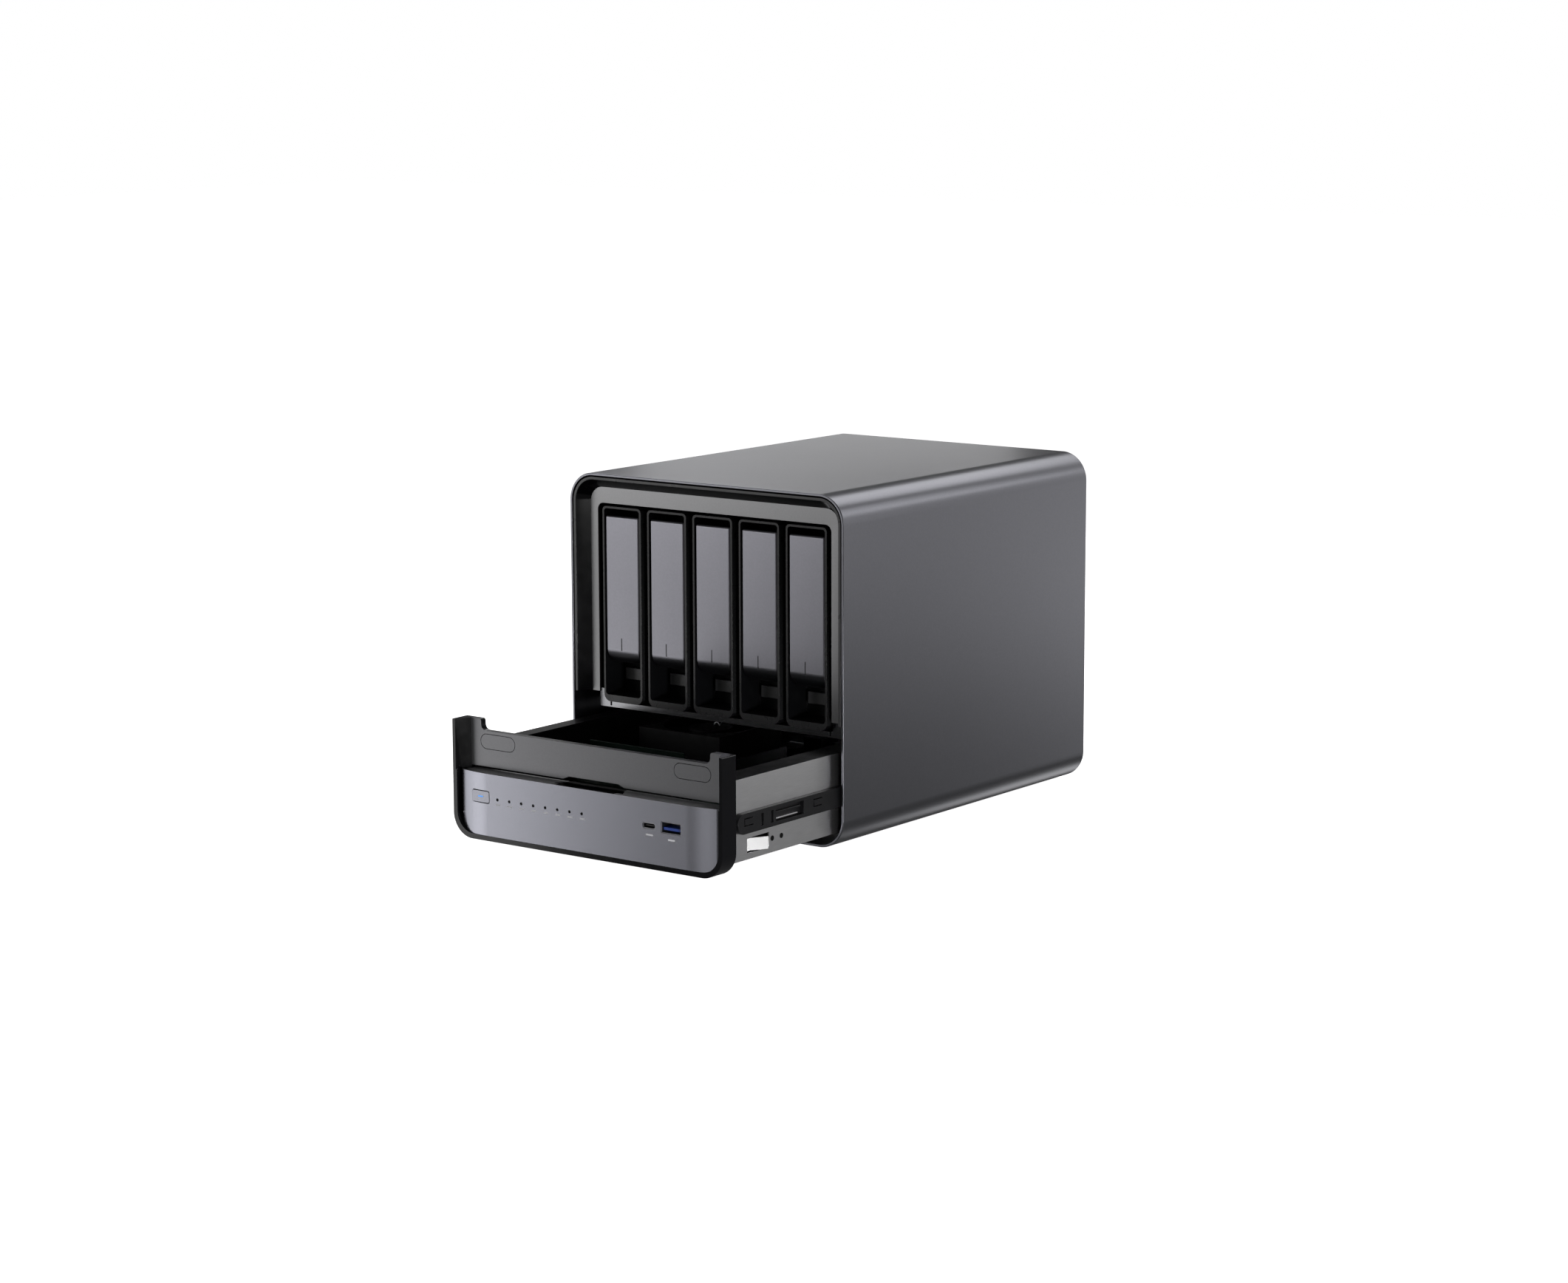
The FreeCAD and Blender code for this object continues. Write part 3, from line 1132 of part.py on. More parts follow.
def power_inlet():
    """A round low-voltage inlet with its centre pin."""
    case = block(("-inlet_x - inlet_half", "-inlet_x + inlet_half"),
                 ("shield_y - inlet_deep - 5", "shield_y"), (BOARD_TOP, "inlet_top"))
    nose = rod("y", ("-inlet_x", "shield_y - 1", "inlet_z"), "inlet_nose", "1.8")
    mouth = rod("y", ("-inlet_x", "shield_y - inlet_deep", "inlet_z"), "inlet_mouth",
                "inlet_deep + 2")
    pin = rod("y", ("-inlet_x", "shield_y - inlet_deep - 1", "inlet_z"), "inlet_pin",
              "inlet_deep")
    node("power_inlet", joined(cut(joined(case, nose), mouth), pin), in_drawer=True)


def dock_plug():
    """The drawer's half of the dock, held on the tray's floor."""
    post = block(("dock_x - dock_half", "dock_x + dock_half"),
                 ("dock_face - 1 - dock_post_deep", "dock_face - 1"),
                 ("steel_low + steel_wall", "dock_z + dock_tall"))
    nose = block(("dock_x - dock_half + dock_nose_margin",
                  "dock_x + dock_half - dock_nose_margin"),
                 ("dock_face - 1", "dock_face + dock_nose_deep"),
                 ("dock_z - dock_nose_half", "dock_z + dock_nose_half"))
    node("dock_plug", joined(post, nose), in_drawer=True)


# ---------------------------------------------------------------- assembly and export

outer_shell()
front_bezel()
rubber_feet()
drive_cage()
bay_guides()
sata_backplane()
sata_connectors()
trays()
rear_frame()
rear_panel()
rear_screws()
rear_fans()
chassis_runner("chassis_runner_left", -1)
chassis_runner("chassis_runner_right", 1)
dock_socket()

drawer_front_frame()
drawer_front_panel()
fascia()
release_button("release_button_left", -1)
release_button("release_button_right", 1)
power_button()
led_light_pipes()
front_port("usb_c_port", "usb_c", "1.5", ("1.6", "-0.35", "0.35"))
front_port("usb_a_port", "usb_a", "0.5", ("0.9", "-1.6", "0"))
front_io_board()
drawer_tray()
drawer_rail("drawer_rail_left", -1)
drawer_rail("drawer_rail_right", 1)
stop_tab("stop_tab_left", -1)
stop_tab("stop_tab_right", 1)
drawer_screws()
motherboard()
board_standoffs()
cpu_heatsink()
cpu_fan_frame()
cpu_fan_rotor()
memory_modules()
ssd_modules()
io_shield()
rear_ports()
power_inlet()
dock_plug()

doc.recompute()
failed = [item.Label for item in doc.Objects if {"Invalid", "Error"} & set(item.State)]
if failed:
    raise RuntimeError("failed to build: " + ", ".join(failed))
os.makedirs("parts", exist_ok=True)
bad = [item.Label for item in nodes if item.Shape.isNull() or not item.Shape.isValid()]
if bad:
    raise RuntimeError("bad shapes: " + ", ".join(bad))
for item in nodes:
    item.Shape.exportStep(os.path.join("parts", item.Label + ".step"))
    print("%-24s solids %d  volume %.0f" % (item.Label, len(item.Shape.Solids), item.Shape.Volume))
print(len(nodes), "nodes")
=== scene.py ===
import json
import math
import bmesh
import bpy
from mathutils import Matrix, Vector

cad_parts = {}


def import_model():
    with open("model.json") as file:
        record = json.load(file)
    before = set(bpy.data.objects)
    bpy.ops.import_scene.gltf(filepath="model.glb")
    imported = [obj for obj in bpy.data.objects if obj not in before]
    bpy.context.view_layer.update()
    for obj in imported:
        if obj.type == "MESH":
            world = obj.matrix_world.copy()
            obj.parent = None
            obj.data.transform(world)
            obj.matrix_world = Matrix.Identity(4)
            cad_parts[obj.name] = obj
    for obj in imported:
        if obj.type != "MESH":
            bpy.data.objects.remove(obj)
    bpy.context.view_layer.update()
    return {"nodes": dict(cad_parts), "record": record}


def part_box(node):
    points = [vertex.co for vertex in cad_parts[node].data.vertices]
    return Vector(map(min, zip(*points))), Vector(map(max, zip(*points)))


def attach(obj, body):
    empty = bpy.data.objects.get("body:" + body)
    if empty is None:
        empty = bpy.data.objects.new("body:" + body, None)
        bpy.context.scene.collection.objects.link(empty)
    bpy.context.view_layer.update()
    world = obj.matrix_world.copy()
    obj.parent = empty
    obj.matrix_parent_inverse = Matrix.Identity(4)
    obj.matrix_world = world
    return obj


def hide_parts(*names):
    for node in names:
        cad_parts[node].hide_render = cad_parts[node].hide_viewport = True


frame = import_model()

MM = 0.001
NODES = frame["nodes"]
RECORD = frame["record"]
BODY_OF = {node: body for body, members in RECORD["behaviour"]["bodies"].items()
           for node in members}
SLOT_OF = {part["node"]: part["material_slot"] for part in RECORD["subparts"]}
WELD = 0.002 * MM       # vertices of a CAD mesh that are closer than this are one
TIGHTEST = 0.05 * MM    # the smallest corner radius of an outline
PROUD = 0.012 * MM      # how far printed marks stand off the surface they are on


# ---------------------------------------------------------------- node helpers
def new_material(name, colour, roughness, metallic=0.0, **sockets):
    """A Principled material, with its constant values set on the shader's own sockets."""
    material = bpy.data.materials.new(name)
    material.use_nodes = True
    shader = material.node_tree.nodes["Principled BSDF"]
    shader.inputs["Base Color"].default_value = (*colour, 1)
    shader.inputs["Roughness"].default_value = roughness
    shader.inputs["Metallic"].default_value = metallic
    for socket, value in sockets.items():
        shader.inputs[socket.replace("_", " ")].default_value = value
    return material, material.node_tree, shader


def noise(tree, scale, detail=2.0, stretch=(1, 1, 1)):
    """Noise over the piece's own coordinates, in metres, stretched along an axis if asked."""
    coordinates = tree.nodes.new("ShaderNodeTexCoord")
    mapping = tree.nodes.new("ShaderNodeMapping")
    mapping.inputs["Scale"].default_value = stretch
    texture = tree.nodes.new("ShaderNodeTexNoise")
    texture.inputs["Scale"].default_value = scale
    texture.inputs["Detail"].default_value = detail
    tree.links.new(coordinates.outputs["Object"], mapping.inputs["Vector"])
    tree.links.new(mapping.outputs["Vector"], texture.inputs["Vector"])
    return texture.outputs["Fac"]


def spread(tree, value, low, high, start=0.3, end=0.7):
    """A noise value carried to a range of its own."""
    node = tree.nodes.new("ShaderNodeMapRange")
    node.inputs["From Min"].default_value = start
    node.inputs["From Max"].default_value = end
    node.inputs["To Min"].default_value = low
    node.inputs["To Max"].default_value = high
    tree.links.new(value, node.inputs["Value"])
    return node.outputs["Result"]


def blend_colours(tree, value, first, second):
    """A colour between two others, by a noise value."""
    node = tree.nodes.new("ShaderNodeMix")
    node.data_type = "RGBA"
    node.inputs[6].default_value = (*first, 1)
    node.inputs[7].default_value = (*second, 1)
    tree.links.new(value, node.inputs["Factor"])
    return node.outputs[2]


def bump(tree, shader, height, depth):
    """Relief of a real depth, in metres, from a noise value."""
    node = tree.nodes.new("ShaderNodeBump")
    node.inputs["Strength"].default_value = 1.0
    node.inputs["Distance"].default_value = depth
    tree.links.new(height, node.inputs["Height"])
    tree.links.new(node.outputs["Normal"], shader.inputs["Normal"])


def shaded(colour, factor):
    """A colour made darker or lighter by a factor."""
    return tuple(channel * factor for channel in colour)


# ---------------------------------------------------------------- materials
def anodised(name, colour, roughness, grain=0.004 * MM):
    """Bead-blasted, anodised aluminium: a fine even grain with faint cloudiness."""
    material, tree, shader = new_material(name, colour, roughness, 1.0)
    tree.links.new(blend_colours(tree, spread(tree, noise(tree, 900, 4), 0, 1),
                                 shaded(colour, 0.97), shaded(colour, 1.03)),
                   shader.inputs["Base Color"])
    tree.links.new(spread(tree, noise(tree, 12, 2), roughness * 0.985, roughness * 1.015),
                   shader.inputs["Roughness"])
    bump(tree, shader, noise(tree, 3500, 2), grain)
    return material


def brushed(name, colour, roughness, along=(0.02, 1, 1), depth=0.004 * MM, scale=5000):
    """Metal with fine parallel lines, drawn out along one axis."""
    material, tree, shader = new_material(name, colour, roughness, 1.0)
    lines = noise(tree, scale, 2, along)
    tree.links.new(blend_colours(tree, spread(tree, lines, 0, 1),
                                 shaded(colour, 0.93), shaded(colour, 1.05)),
                   shader.inputs["Base Color"])
    tree.links.new(spread(tree, lines, roughness * 0.9, roughness * 1.12),
                   shader.inputs["Roughness"])
    bump(tree, shader, lines, depth)
    return material


def moulded(name, colour, roughness, texture=0.02 * MM, scale=2500, **sockets):
    """Moulded plastic with a light spark-eroded texture and slightly uneven gloss."""
    material, tree, shader = new_material(name, colour, roughness, 0.0, **sockets)
    tree.links.new(blend_colours(tree, spread(tree, noise(tree, 40, 3), 0, 1),
                                 shaded(colour, 0.9), shaded(colour, 1.1)),
                   shader.inputs["Base Color"])
    tree.links.new(spread(tree, noise(tree, 150, 3), roughness * 0.88, roughness * 1.12),
                   shader.inputs["Roughness"])
    bump(tree, shader, noise(tree, scale, 3), texture)
    return material


def lit(name, colour, strength):
    """A translucent lens with a lamp behind it, its glow a little uneven."""
    material, tree, shader = new_material(name, shaded(colour, 0.3), 0.3)
    shader.inputs["Emission Color"].default_value = (*colour, 1)
    glow = spread(tree, noise(tree, 900), strength * 0.8, strength * 1.2)
    tree.links.new(glow, shader.inputs["Emission Strength"])
    return material


MATERIALS = {
    "shell_aluminium": anodised("Tube aluminium", (0.196, 0.197, 0.217), 0.3),
    "gloss_black": moulded("Gloss black", (0.003, 0.003, 0.004), 0.14, 0.001 * MM, 300,
                           Specular_IOR_Level=0.35),
    "rubber": moulded("Rubber", (0.02, 0.02, 0.02), 0.75, 0.05 * MM, 1500),
    "cage_steel": brushed("Cage steel", (0.24, 0.24, 0.25), 0.2),
    "black_plastic": moulded("Black plastic", (0.008, 0.008, 0.009), 0.34,
                             Specular_IOR_Level=0.25),
    "circuit_board": moulded("Solder mask", (0.006, 0.022, 0.014), 0.35, 0.01 * MM, 1200),
    "connector_black": moulded("Connector plastic", (0.012, 0.012, 0.012), 0.5),
    "rear_paint": moulded("Powder coat", (0.02, 0.02, 0.022), 0.55, 0.05 * MM, 1800),
    "screw_steel": brushed("Zinc", (0.45, 0.45, 0.47), 0.3),
    "fan_plastic": moulded("Fan plastic", (0.01, 0.01, 0.011), 0.4, Specular_IOR_Level=0.3),
    "panel_grey": anodised("Panel grey", (0.16, 0.16, 0.166), 0.3),
    "plate_grey": anodised("Plate grey", (0.21, 0.21, 0.213), 0.3),
    "fascia_aluminium": anodised("Fascia aluminium", (0.31, 0.312, 0.35), 0.27),
    "light_pipe": moulded("Light pipe", (0.002, 0.002, 0.003), 0.3, 0.001 * MM,
                          Specular_IOR_Level=0.1),
    "port_steel": brushed("Plated steel", (0.35, 0.35, 0.37), 0.3),
    "tray_steel": brushed("Sheet steel", (0.62, 0.62, 0.63), 0.36, (1, 0.02, 1)),
    "bright_steel": brushed("Bright steel", (0.8, 0.8, 0.82), 0.3, (1, 0.02, 1)),
    "white_plastic": moulded("White plastic", (0.85, 0.85, 0.85), 0.4, 0.005 * MM),
    "brass": brushed("Brass", (0.55, 0.38, 0.14), 0.3, (1, 1, 0.05)),
    "heatsink_aluminium": brushed("Heatsink aluminium", (0.6, 0.6, 0.61), 0.35, (1, 0.02, 1)),
    "tray_grey": moulded("Tray grey", (0.022, 0.022, 0.023), 0.28, 0.006 * MM, 1500,
                         Specular_IOR_Level=0.35),
    "door_grey": anodised("Door grey", (0.219, 0.217, 0.24), 0.3),
    "latch_grey": moulded("Latch grey", (0.06, 0.06, 0.062), 0.35),
    # the bezel lip's front face: a lighter grey, as a painted highlight along its edge
    "lip_painted_highlight": moulded("Bezel lip painted highlight", (0.05, 0.05, 0.052), 0.3, 0.003 * MM),
    # the ports' mouths: a darker steel, as painted shade inside them
    "port_mouth_painted_shade": brushed("Port mouth painted shade", (0.12, 0.12, 0.13), 0.4),
    "blue_plastic": moulded("Blue plastic", (0.012, 0.05, 0.3), 0.3, 0.004 * MM),
    # near-black painted where there is only shade: the drawer's inside, the scoop and the small
    # holes
    "painted_shade_black": moulded("Painted shade black", (0.002, 0.002, 0.002), 0.6, 0.004 * MM,
                          Specular_IOR_Level=0.1),
    # near-black painted on the finger pockets' walls, as painted shade in the recesses
    "pocket_painted_shade": moulded("Pocket painted shade", (0.006, 0.006, 0.007), 0.4, 0.004 * MM, 1500,
                            Specular_IOR_Level=0.2),
    "ledge_grey": moulded("Ledge grey", (0.3, 0.3, 0.31), 0.5, 0.003 * MM),
    "coil_grey": moulded("Coil", (0.06, 0.06, 0.062), 0.45, 0.01 * MM),
    "print_grey": moulded("Print grey", (0.85, 0.85, 0.88), 0.5, 0.002 * MM),
    "blue_light": lit("Blue light", (0.1, 0.35, 0.9), 0.9),
}


# ---------------------------------------------------------------- mesh helpers
def finish_mesh(piece, smooth_angle=40):
    """Smooth shading that keeps flat faces flat and hard edges hard."""
    mesh = piece.data
    mesh.polygons.foreach_set("use_smooth", [True] * len(mesh.polygons))
    mesh.set_sharp_from_angle(angle=math.radians(smooth_angle))
    weighted = piece.modifiers.new("Weighted normals", "WEIGHTED_NORMAL")
    weighted.keep_sharp = True


def new_piece(name, mesh, material, body):
    """Puts a mesh in the scene as a piece that rides on a body."""
    piece = bpy.data.objects.new(name, mesh)
    bpy.context.scene.collection.objects.link(piece)
    mesh.materials.clear()
    mesh.materials.append(MATERIALS[material])
    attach(piece, body)
    return piece


def soft_copy(node, width):
    """The CAD piece with its edges rounded as they are on the real one."""
    mesh = NODES[node].data.copy()
    shape = bmesh.new()
    shape.from_mesh(mesh)
    bmesh.ops.remove_doubles(shape, verts=shape.verts, dist=WELD)
    bmesh.ops.dissolve_limit(shape, angle_limit=math.radians(0.6), verts=shape.verts,
                             edges=shape.edges)
    shape.to_mesh(mesh)
    shape.free()
    piece = new_piece(node + "_finished", mesh, SLOT_OF[node], BODY_OF[node])
    rounding = piece.modifiers.new("Rounded edges", "BEVEL")
    rounding.width = width
    rounding.segments = 2
    rounding.limit_method = "ANGLE"
    rounding.angle_limit = math.radians(38)
    rounding.miter_outer = "MITER_ARC"
    finish_mesh(piece)
    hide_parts(node)
    return piece


def rounded(corners, steps=6):
    """A closed outline's points, from corners (x, y, radius) taken in order."""
    points = []
    for index, (x, y, radius) in enumerate(corners):
        here = Vector((x, y))
        if radius <= 0:
            points.append(here)
            continue
        before = Vector(corners[index - 1][:2]) - here
        after = Vector(corners[(index + 1) % len(corners)][:2]) - here
        before.normalize()
        after.normalize()
        half = before.angle(after) / 2
        centre = here + (before + after).normalized() * (radius / math.sin(half))
        start = here + before * (radius / math.tan(half)) - centre
        end = here + after * (radius / math.tan(half)) - centre
        first = math.atan2(start.y, start.x)
        turn = math.atan2(end.y, end.x) - first
        turn = (turn + math.pi) % (2 * math.pi) - math.pi
        for step in range(steps + 1):
            angle = first + turn * step / steps
            points.append(centre + radius * Vector((math.cos(angle), math.sin(angle))))
    return points


def skin(loops, around, along):
    """Quads between loops of equal length. around closes each loop; along joins last to first."""
    mesh = bpy.data.meshes.new("Skin")
    count = len(loops[0])
    vertices = [point for loop in loops for point in loop]
    faces = []
    rows = len(loops) if along else len(loops) - 1
    columns = count if around else count - 1
    for row in range(rows):
        upper = (row + 1) % len(loops)
        for column in range(columns):
            beside = (column + 1) % count
            faces.append((row * count + column, row * count + beside,
                          upper * count + beside, upper * count + column))
    if along and not around:
        faces.append([row * count for row in range(len(loops))])
        faces.append([row * count + count - 1 for row in reversed(range(len(loops)))])
    mesh.from_pydata(vertices, [], faces)
    shape = bmesh.new()
    shape.from_mesh(mesh)
    bmesh.ops.recalc_face_normals(shape, faces=shape.faces)
    shape.to_mesh(mesh)
    shape.free()
    return mesh


def box_ring(low_x, high_x, low_z, high_z, radius, steps=16):
    """Gives, for an inset, the points of a rounded rectangle that much smaller all round."""
    def outline(inset):
        corner = max(radius - inset, TIGHTEST)
        left, right = low_x + inset, high_x - inset
        low, high = low_z + inset, high_z - inset
        return rounded([(left, low, corner), (right, low, corner),
                        (right, high, corner), (left, high, corner)], steps)
    return outline


def arch(half, low_z, high_z, radius, steps=16):
    """Gives, for an inset, the points of an arch with upright legs and rounded shoulders."""
    def outline(inset):
        corner = max(radius - inset, TIGHTEST)
        return rounded([(half - inset, low_z, 0), (half - inset, high_z - inset, corner),
                        (inset - half, high_z - inset, corner), (inset - half, low_z, 0)], steps)
    return outline


def swept(name, outline, profile, material, body, around=True, replaced=()):
    """A frame whose outline is swept with a cross-section of (inset, y) points."""
    loops = [[(point.x, y, point.y) for point in outline(inset)] for inset, y in profile]
    piece = new_piece(name, skin(loops, around, True), material, body)
    finish_mesh(piece)
    if replaced:
        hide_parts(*replaced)
    return piece


# ---------------------------------------------------------------- shell and bezel
def shell():
    """The outer tube, with its front and rear edges rounded over."""
    low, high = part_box("outer_shell")
    corner = 17 * MM
    wall = 1.5 * MM
    profile = rounded([(0, low.y, 0.45 * MM), (wall, low.y, 0.3 * MM),
                       (wall, high.y, 0.3 * MM), (0, high.y, 0.45 * MM)], 4)
    swept("outer_tube", box_ring(low.x, high.x, low.z, high.z, corner, 28), profile,
          "shell_aluminium", "chassis", replaced=["outer_shell"])


def bezel():
    """The black bezel: a lip at the front, then a wall that slants in to the face plate."""
    low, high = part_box("front_bezel")
    lip, slant, plate = 1.7 * MM, 5.1 * MM, 1.5 * MM
    plate_front = high.y - plate
    corner = 14.8 * MM
    ear_gap = 0.15 * MM     # between the bezel's feet and the drawer's ears when it is shut
    wall = rounded([(0, low.y, 0.25 * MM), (lip, low.y, 0.35 * MM),
                    (lip + slant, plate_front, 0), (lip + slant, high.y, 0), (0, high.y, 0)], 4)
    outline = arch(high.x, low.z + ear_gap, high.z, corner, 20)
    piece = swept("bezel_wall", outline, wall, "gloss_black", "chassis",
                  around=False, replaced=["front_bezel"])
    # The lip's front faces get a lighter grey, a painted highlight for the light line along the
    # lip's edge.
    piece.data.materials.append(MATERIALS["lip_painted_highlight"])
    for face in piece.data.polygons:
        if face.center.y < low.y + 0.3 * MM:
            face.material_index = 1
    face_plate(low, high, plate_front, lip + slant)


def face_plate(low, high, front, edge):
    """The grey plate round the bay, from the bezel's slanted wall to the opening."""
    bay_half, bay_top, bay_corner = 85 * MM, 185.5 * MM, 4 * MM
    outer_corner, rim, buried = 9 * MM, 0.35 * MM, 0.6 * MM
    steps = 20
    outer = arch(high.x - edge, low.z, high.z - edge, outer_corner, steps)(0)
    loops = [[(p.x, y, p.y) for p in outer] for y in (front + buried, front)]
    for grow, y in ((rim, front), (rim * 0.3, front + rim * 0.3), (0, front + rim),
                    (0, high.y)):
        inner = arch(bay_half + grow, low.z, bay_top + grow, bay_corner + grow, steps)(0)
        loops.append([(p.x, y, p.y) for p in inner])
    piece = new_piece("face_plate", skin(loops, False, False), "plate_grey", "chassis")
    finish_mesh(piece)


shell()
bezel()

# ---------------------------------------------------------------- drive trays
def straight_skin(name, sections, material, body, replaced=()):
    """A solid skinned over equal sections, closed by a face at each end."""
    mesh = skin(sections, True, False)
    shape = bmesh.new()
    shape.from_mesh(mesh)
    ends = [edge for edge in shape.edges if len(edge.link_faces) == 1]
    bmesh.ops.holes_fill(shape, edges=ends)
    bmesh.ops.recalc_face_normals(shape, faces=shape.faces)
    shape.to_mesh(mesh)
    shape.free()
    piece = new_piece(name, mesh, material, body)
    finish_mesh(piece)
    if replaced:
        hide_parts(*replaced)


def arc(centre, radius, start, end, steps):
    """Points on an arc, from one angle to another in degrees."""
    return [(centre[0] + radius * math.cos(math.radians(start + (end - start) * k / steps)),
             centre[1] + radius * math.sin(math.radians(start + (end - start) * k / steps)))
            for k in range(steps + 1)]


def tray_door(number):
    """The lever door: flat above, and curling inwards at its foot, with softened edges."""
    node = "tray_%d_door" % number
    low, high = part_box(node)
    thick, edge, curl, turn = 2.2 * MM, 1.5 * MM, 10 * MM, 65
    stub_gap = 1.2 * MM
    half = (high.x - low.x) / 2 - stub_gap
    middle = (low.x + high.x) / 2
    front, top, foot = low.y, high.z, low.z
    bend = (front + curl, foot + curl * math.sin(math.radians(turn)))
    sections = []
    for step in range(-6, 7):
        angle = math.radians(15 * abs(step))
        shift = edge * (1 - math.cos(angle))
        x = middle + math.copysign(half - edge + edge * math.sin(angle), step)
        path = [(front + thick, top - shift)]
        path += arc((front + edge, top - edge), edge - shift, 90, 180, 5)
        path += arc(bend, curl - shift, 180, 180 + turn, 9)
        path += arc(bend, curl - thick, 180 + turn, 180, 9)
        sections.append([(x, y, z) for y, z in path])
    straight_skin(node + "_finished", sections, "door_grey", BODY_OF[node], [node])
    tick(number, middle, front, foot)
    hinge_pins(number, middle, half)


def tick(number, middle, front, foot):
    """The dark slit near the door's foot."""
    left, right = middle - 1.45 * MM, middle - 0.85 * MM
    near, deep = front - 0.02 * MM, front + 0.4 * MM
    sections = [[(left, near, z), (right, near, z), (right, deep, z), (left, deep, z)]
                for z in (foot + 7.9 * MM, foot + 15.3 * MM)]
    straight_skin("tray_%d_tick" % number, sections, "black_plastic", "door_%d" % number)


def disc_loop(centre, radius, axis, along, count=24):
    """Points of a circle about an axis, at a distance along it."""
    points = []
    for step in range(count):
        angle = 2 * math.pi * step / count
        a, b = radius * math.cos(angle), radius * math.sin(angle)
        offset = {"x": (along, a, b), "y": (a, along, b), "z": (a, b, along)}[axis]
        points.append(tuple(Vector(centre) + Vector(offset)))
    return points


def turned(name, centre, axis, profile, material, body, count=24):
    """A solid of revolution, from (radius, distance along) pairs."""
    sections = [disc_loop(centre, radius, axis, along, count) for radius, along in profile]
    straight_skin(name, sections, material, body)


def hinge_pins(number, middle, half):
    """The stubs that the door turns on."""
    pivot = next(joint for joint in RECORD["behaviour"]["joints"]
                 if joint["name"] == "door_%d_hinge" % number)["pos_m"]
    for side, word in ((-1, "left"), (1, "right")):
        start, end = side * (half - 0.5 * MM), side * (half + 1.1 * MM)
        turned("tray_%d_pin_%s" % (number, word), (middle, pivot[1], pivot[2]), "x",
               [(1.4 * MM, start), (1.4 * MM, end - side * 0.2 * MM), (1.2 * MM, end)],
               "door_grey", "door_%d" % number)


for bay in range(1, 6):
    tray_door(bay)


# ---------------------------------------------------------------- fascia details
def lozenge(name, middle, half_width, half_height, y, depth, material, body):
    """A small plate facing the front, with rounded ends."""
    radius = half_height * 0.98
    points = rounded([(middle.x - half_width, middle.y - half_height, radius),
                      (middle.x + half_width, middle.y - half_height, radius),
                      (middle.x + half_width, middle.y + half_height, radius),
                      (middle.x - half_width, middle.y + half_height, radius)], 5)
    straight_skin(name, [[(p.x, y, p.y) for p in points],
                         [(p.x, y + depth, p.y) for p in points]], material, body)


def fascia_marks():
    """The button's light, and plain dashes where the lights and ports have captions."""
    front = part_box("fascia")[0].y
    button_low, button_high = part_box("power_button")
    button = (button_low + button_high) / 2
    lozenge("power_light", Vector((button.x, button.z + 0.1 * MM)), 1.9 * MM, 0.42 * MM,
            button_low.y - 0.03 * MM, 0.2 * MM, "blue_light", "power_button")
    pipes_low, pipes_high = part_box("led_light_pipes")
    count = 8
    radius = (pipes_high.z - pipes_low.z) / 2
    pitch = (pipes_high.x - pipes_low.x - 2 * radius) / (count - 1)
    height = (pipes_low.z + pipes_high.z) / 2
    for index in range(count):
        x = pipes_low.x + radius + pitch * index
        lozenge("light_dash_%d" % (index + 1), Vector((x + 0.3 * MM, height - 2.9 * MM)),
                1.8 * MM, 0.4 * MM, front - PROUD, 0.05 * MM, "print_grey",
                "compute_drawer")
    for node in ("usb_c_port", "usb_a_port"):
        port_low, port_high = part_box(node)
        middle = (port_low + port_high) / 2
        lozenge(node + "_dash", Vector((middle.x + 0.4 * MM, port_low.z - 3.4 * MM)), 2.5 * MM,
                0.45 * MM, front - PROUD, 0.05 * MM, "print_grey", "compute_drawer")


fascia_marks()


# ---------------------------------------------------------------- rail details
def plain_box(name, low, high, material, body, edge=0.1 * MM):
    """A block with rounded edges, between two corners."""
    mesh = bpy.data.meshes.new(name)
    shape = bmesh.new()
    bmesh.ops.create_cube(shape, size=1)
    for vertex in shape.verts:
        for axis in range(3):
            vertex.co[axis] = high[axis] if vertex.co[axis] > 0 else low[axis]
    bmesh.ops.bevel(shape, geom=shape.edges[:], offset=edge, segments=2, profile=0.5,
                    affect="EDGES")
    shape.to_mesh(mesh)
    shape.free()
    finish_mesh(new_piece(name, mesh, material, body))


def rail_details(side, word):
    """The rail's window: a dark well behind it, with a latch bar and a bright spring in it."""
    low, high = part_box("drawer_rail_" + word)
    inner = low.x if side > 0 else high.x

    def across(a, b):
        return sorted((inner + side * a * MM, inner + side * b * MM))

    window_starts = (34.3, 106.8, 184.8)
    for index, start in enumerate(window_starts, start=1):
        y = low.y + start * MM
        name = "rail_%s_%d" % (word, index)
        wells = across(0.05, 1.0)
        plain_box(name + "_well", (wells[0], y + 0.1 * MM, low.z + 2.3 * MM),
                  (wells[1], y + 25.4 * MM, low.z + 9.7 * MM), "black_plastic", "compute_drawer")
        bars = across(0.9, 2.9)
        plain_box(name + "_bar", (bars[0], y + 0.4 * MM, low.z + 6.6 * MM),
                  (bars[1], y + 23.5 * MM, low.z + 7.7 * MM), "black_plastic", "compute_drawer",
                  edge=0.3 * MM)
        springs = across(0.9, 2.3)
        plain_box(name + "_spring", (springs[0], y + 0.9 * MM, low.z + 3.1 * MM),
                  (springs[1], y + 21.5 * MM, low.z + 3.9 * MM), "bright_steel", "compute_drawer",
                  edge=0.2 * MM)


rail_details(-1, "left")
rail_details(1, "right")


